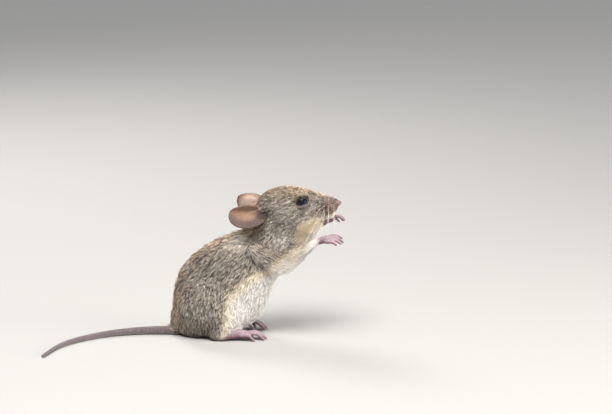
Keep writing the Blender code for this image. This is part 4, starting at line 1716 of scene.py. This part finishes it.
    def spread_map(self, roots: Roots) -> Array:
        """Each root's place on an unwrap of the skin's own shape."""
        coarse = shaped(self.mesh, "DECIMATE", ratio=0.07)
        helper = placed("unwrap", coarse)
        bpy.context.view_layer.objects.active = helper
        helper.select_set(True)
        bpy.ops.object.mode_set(mode="EDIT")
        bpy.ops.mesh.select_all(action="SELECT")
        bpy.ops.uv.smart_project(angle_limit=math.radians(66.0), island_margin=0.004)
        bpy.ops.object.mode_set(mode="OBJECT")
        surface = Surface.of(coarse)
        loops = read(coarse.loop_triangles, "loops", 3, np.int32)
        spots = read(coarse.uv_layers.active.data, "uv", 2, np.float32)[loops]
        tree = BVHTree.FromPolygons(surface.points.tolist(), surface.triangles.tolist())
        found = [tree.find_nearest(point) for point in roots.points.tolist()]
        faces = np.array([hit[2] for hit in found])
        places = np.array([hit[0] for hit in found])
        bpy.data.objects.remove(helper)
        corners = surface.points[surface.triangles[faces]]
        first, second = corners[:, 1] - corners[:, 0], corners[:, 2] - corners[:, 0]
        apart = places - corners[:, 0]
        whole = np.maximum(np.linalg.norm(np.cross(first, second), axis=1), 1e-15)
        b = np.linalg.norm(np.cross(apart, second), axis=1) / whole
        c = np.linalg.norm(np.cross(first, apart), axis=1) / whole
        weights = np.stack([1.0 - b - c, b, c], 1)[:, :, None]
        return (spots[faces] * weights).sum(1)

    def piece(
        self, name: str, corners: Array, colours: Array, spots: Array, shape: TuftShape
    ) -> bpy.types.Object:
        """Joins tufts into one piece of the coat.

        Args:
            name: The piece's name.
            corners: Tufts by corners by place.
            colours: Tufts by corners by colour.
            spots: Each tuft's place on the map.
            shape: The tufts' pattern.

        Returns:
            The piece.
        """
        triangles, places = shape.faces()
        count = len(corners)
        index = triangles[None, :, :] + (np.arange(count) * shape.corners)[:, None, None]
        mesh = bpy.data.meshes.new(name)
        mesh.vertices.add(count * shape.corners)
        mesh.vertices.foreach_set("co", corners.astype(np.float32).ravel())
        mesh.loops.add(index.size)
        mesh.loops.foreach_set("vertex_index", index.astype(np.int32).ravel())
        mesh.polygons.add(index.size // 3)
        mesh.polygons.foreach_set("loop_start", np.arange(0, index.size, 3, dtype=np.int32))
        mesh.update(calc_edges=True)
        layer = mesh.uv_layers.new(name="OFBake")
        flat = spots[:, None, :] + (places.reshape(1, -1, 2) - 0.5) * self.patch
        layer.data.foreach_set("uv", np.clip(flat, 0.0, 1.0).astype(np.float32).ravel())
        set_attribute(mesh, "hair", colours.reshape(-1, 3))
        return add_piece(name, mesh, CoatFinish(name))

    def regions(self, roots: Roots) -> list[tuple[str, Array, TuftShape]]:
        """The coat's pieces: their names, their tufts and the tufts' pattern."""
        flesh = self.place.flesh
        trunk = (("head", "lower_jaw", "nose", "eye"), ("neck",), ("chest",), ("hindquarters",))
        legs = (("foreleg", "forepaw"), ("hind_leg", "hind_foot"))
        parts = [(starts, self.long_tuft) for starts in trunk[1:] + legs]
        parts.append((trunk[0], self.short_tuft))
        found = []
        for starts, shape in parts:
            mine = flesh.among(roots.owners, *starts)
            left = roots.points[:, 1] > at(starts[0] if starts in trunk else "chest", 0.5, 0.5, 0.5).y
            found.append((f"coat_{starts[0]}_left", mine & left, shape))
            found.append((f"coat_{starts[0]}_right", mine & ~left, shape))
        found.append(("coat_ears", flesh.among(roots.owners, "ear"), self.short_tuft))
        found.append(("coat_tail", flesh.among(roots.owners, "tail"), self.short_tuft))
        return found

    def build(self) -> list[bpy.types.Object]:
        """Makes the whole coat."""
        roots = self.sow()
        bends = self.bends(roots)
        locks = self.locks(roots, self.lock_spacing, 0.0)
        streaks = self.locks(roots, self.streak_spacing, self.streak)
        pull = (self.lock_pull * smooth_step(roots.measures[:, 1], 0.9, 2.6))[:, None]
        close = np.linalg.norm(bends[locks, 0] - bends[:, 0], axis=1) < self.lock_reach * MM
        pale = self.markings.paleness(roots.points, self.anatomy)
        pull = pull * (close * (1.0 - self.pale_loosening * pale))[:, None]
        bends[:, 2] += (bends[locks, 2] - bends[:, 2]) * pull
        bends[:, 1] += (bends[locks, 1] - bends[:, 1]) * pull * 0.3
        spots = self.spread_map(roots)
        pieces = []
        for name, mask, shape in self.regions(roots):
            chosen = roots.chosen(mask)
            corners = self.grow(chosen, bends[mask], shape)
            stops = np.array([stop for stop in shape.stops for _ in range(3)] + [1.0])
            renumber = np.cumsum(mask) - 1
            mine = streaks[mask]
            mine = np.where(mask[mine], renumber[mine], np.arange(len(mine)))
            colours = self.colours(chosen, mine, stops)
            if len(corners) > shape.most:
                LOG.warning("%s has %d tufts, over %d", name, len(corners), shape.most)
            pieces.append(self.piece(name, corners, colours, spots[mask], shape))
        return pieces


# ---------------------------------------------------------------- the studio


@dataclass(frozen=True)
class Studio:
    """A plain pale floor, soft light and the camera."""

    elevation: float = math.radians(12.0)
    across: float = 0.2264
    lens: float = 135.0
    sensor: float = 36.0
    ambient: Colour = (0.75, 0.78, 0.84)
    ambient_strength: float = 0.42
    aim: tuple = ("head", 0.60, 0.72, 0.56)
    light_aim: tuple = ("chest", 0.8, 0.5, 0.5)
    nearest: float = 0.05
    floor_size: float = 6.0
    daylight: float = 1.5
    daylight_angle: float = 0.9
    daylight_way: Triple = (0.10, 0.35, -1.0)
    lamps: tuple[tuple, ...] = (
        ("key", (-0.05, -0.30, 0.50), 0.30, 5.0, (1.0, 0.97, 0.94)),
        ("fill", (0.46, -0.27, 0.05), 0.45, 1.8, (0.95, 0.97, 1.0)),
        ("bounce", (0.40, -0.12, 0.03), 0.16, 1.5, (1.0, 0.88, 0.72)),
        ("rim", (-0.25, 0.40, 0.40), 0.25, 2.4, (1.0, 0.97, 0.93)),
    )
    shineless: tuple[str, ...] = ("daylight", "bounce")

    def floor(self) -> bpy.types.Object:
        """Lays the floor."""
        shell = bmesh.new()
        bmesh.ops.create_grid(shell, x_segments=1, y_segments=1, size=self.floor_size)
        mesh = as_mesh("studio_floor", shell)
        mesh.materials.append(FloorFinish("studio_floor").make())
        floor = placed("studio_floor", mesh)
        return floor

    def lamp(self, name: str, kind: str, way: Vector, power: float, tint: Colour) -> bpy.types.Object:
        """Makes one light.

        Args:
            name: Its name.
            kind: Its type.
            way: The direction it shines in.
            power: How strong it is, in watts, or for daylight in watts a square metre.
            tint: Its colour.

        Returns:
            The light.
        """
        light = bpy.data.lights.new(name, kind)
        light.energy = power
        light.color = tint
        lamp = placed(name, light)
        lamp.rotation_euler = way.to_track_quat("-Z", "Y").to_euler()
        lamp.visible_glossy = name not in self.shineless
        return lamp

    def light(self) -> None:
        """Sets up the lights and the surroundings."""
        target = at(*self.light_aim)
        daylight = self.lamp("daylight", "SUN", Vector(self.daylight_way), self.daylight, (1.0, 1.0, 1.0))
        daylight.data.angle = self.daylight_angle
        for name, offset, size, power, tint in self.lamps:
            place = target + Vector(offset)
            lamp = self.lamp(name, "AREA", target - place, power, tint)
            lamp.location = place
            lamp.data.shape = "DISK"
            lamp.data.size = size
        world = bpy.data.worlds.new("studio")
        world.use_nodes = True
        shade = world.node_tree.nodes["Background"]
        shade.inputs["Color"].default_value = (*self.ambient, 1.0)
        shade.inputs["Strength"].default_value = self.ambient_strength
        bpy.context.scene.world = world
        bpy.context.scene.view_settings.view_transform = "Standard"

    def camera(self) -> None:
        """Places the camera so that it looks at the head from a little above."""
        lens = bpy.data.cameras.new("camera")
        lens.lens = self.lens
        lens.sensor_width = self.sensor
        lens.clip_start = self.nearest
        way = Vector((0.0, math.cos(self.elevation), -math.sin(self.elevation)))
        camera = placed("camera", lens)
        camera.location = at(*self.aim) - way * (self.across * self.lens / self.sensor)
        camera.rotation_euler = way.to_track_quat("-Z", "Y").to_euler()
        bpy.context.scene.camera = camera


def main() -> None:
    """Builds and dresses the animal, and sets it in the studio."""
    logging.basicConfig(level=logging.INFO, format="%(asctime)s %(message)s")
    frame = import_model()
    anatomy, markings = Anatomy(), Markings()
    flesh = Flesh(frame["nodes"])
    skin = Skin(anatomy, markings, flesh, body_guides())
    mesh, place = skin.build()
    LOG.info("skin built")
    Coat(anatomy, markings, place, mesh).build()
    skin.dress(mesh, place)
    for side in Side:
        eye = Eye(side, anatomy)
        eye.ball()
        eye.lids()
    Claws().build()
    Whiskers(anatomy).build()
    studio = Studio()
    studio.floor()
    studio.light()
    studio.camera()


if __name__ == "__main__":
    main()
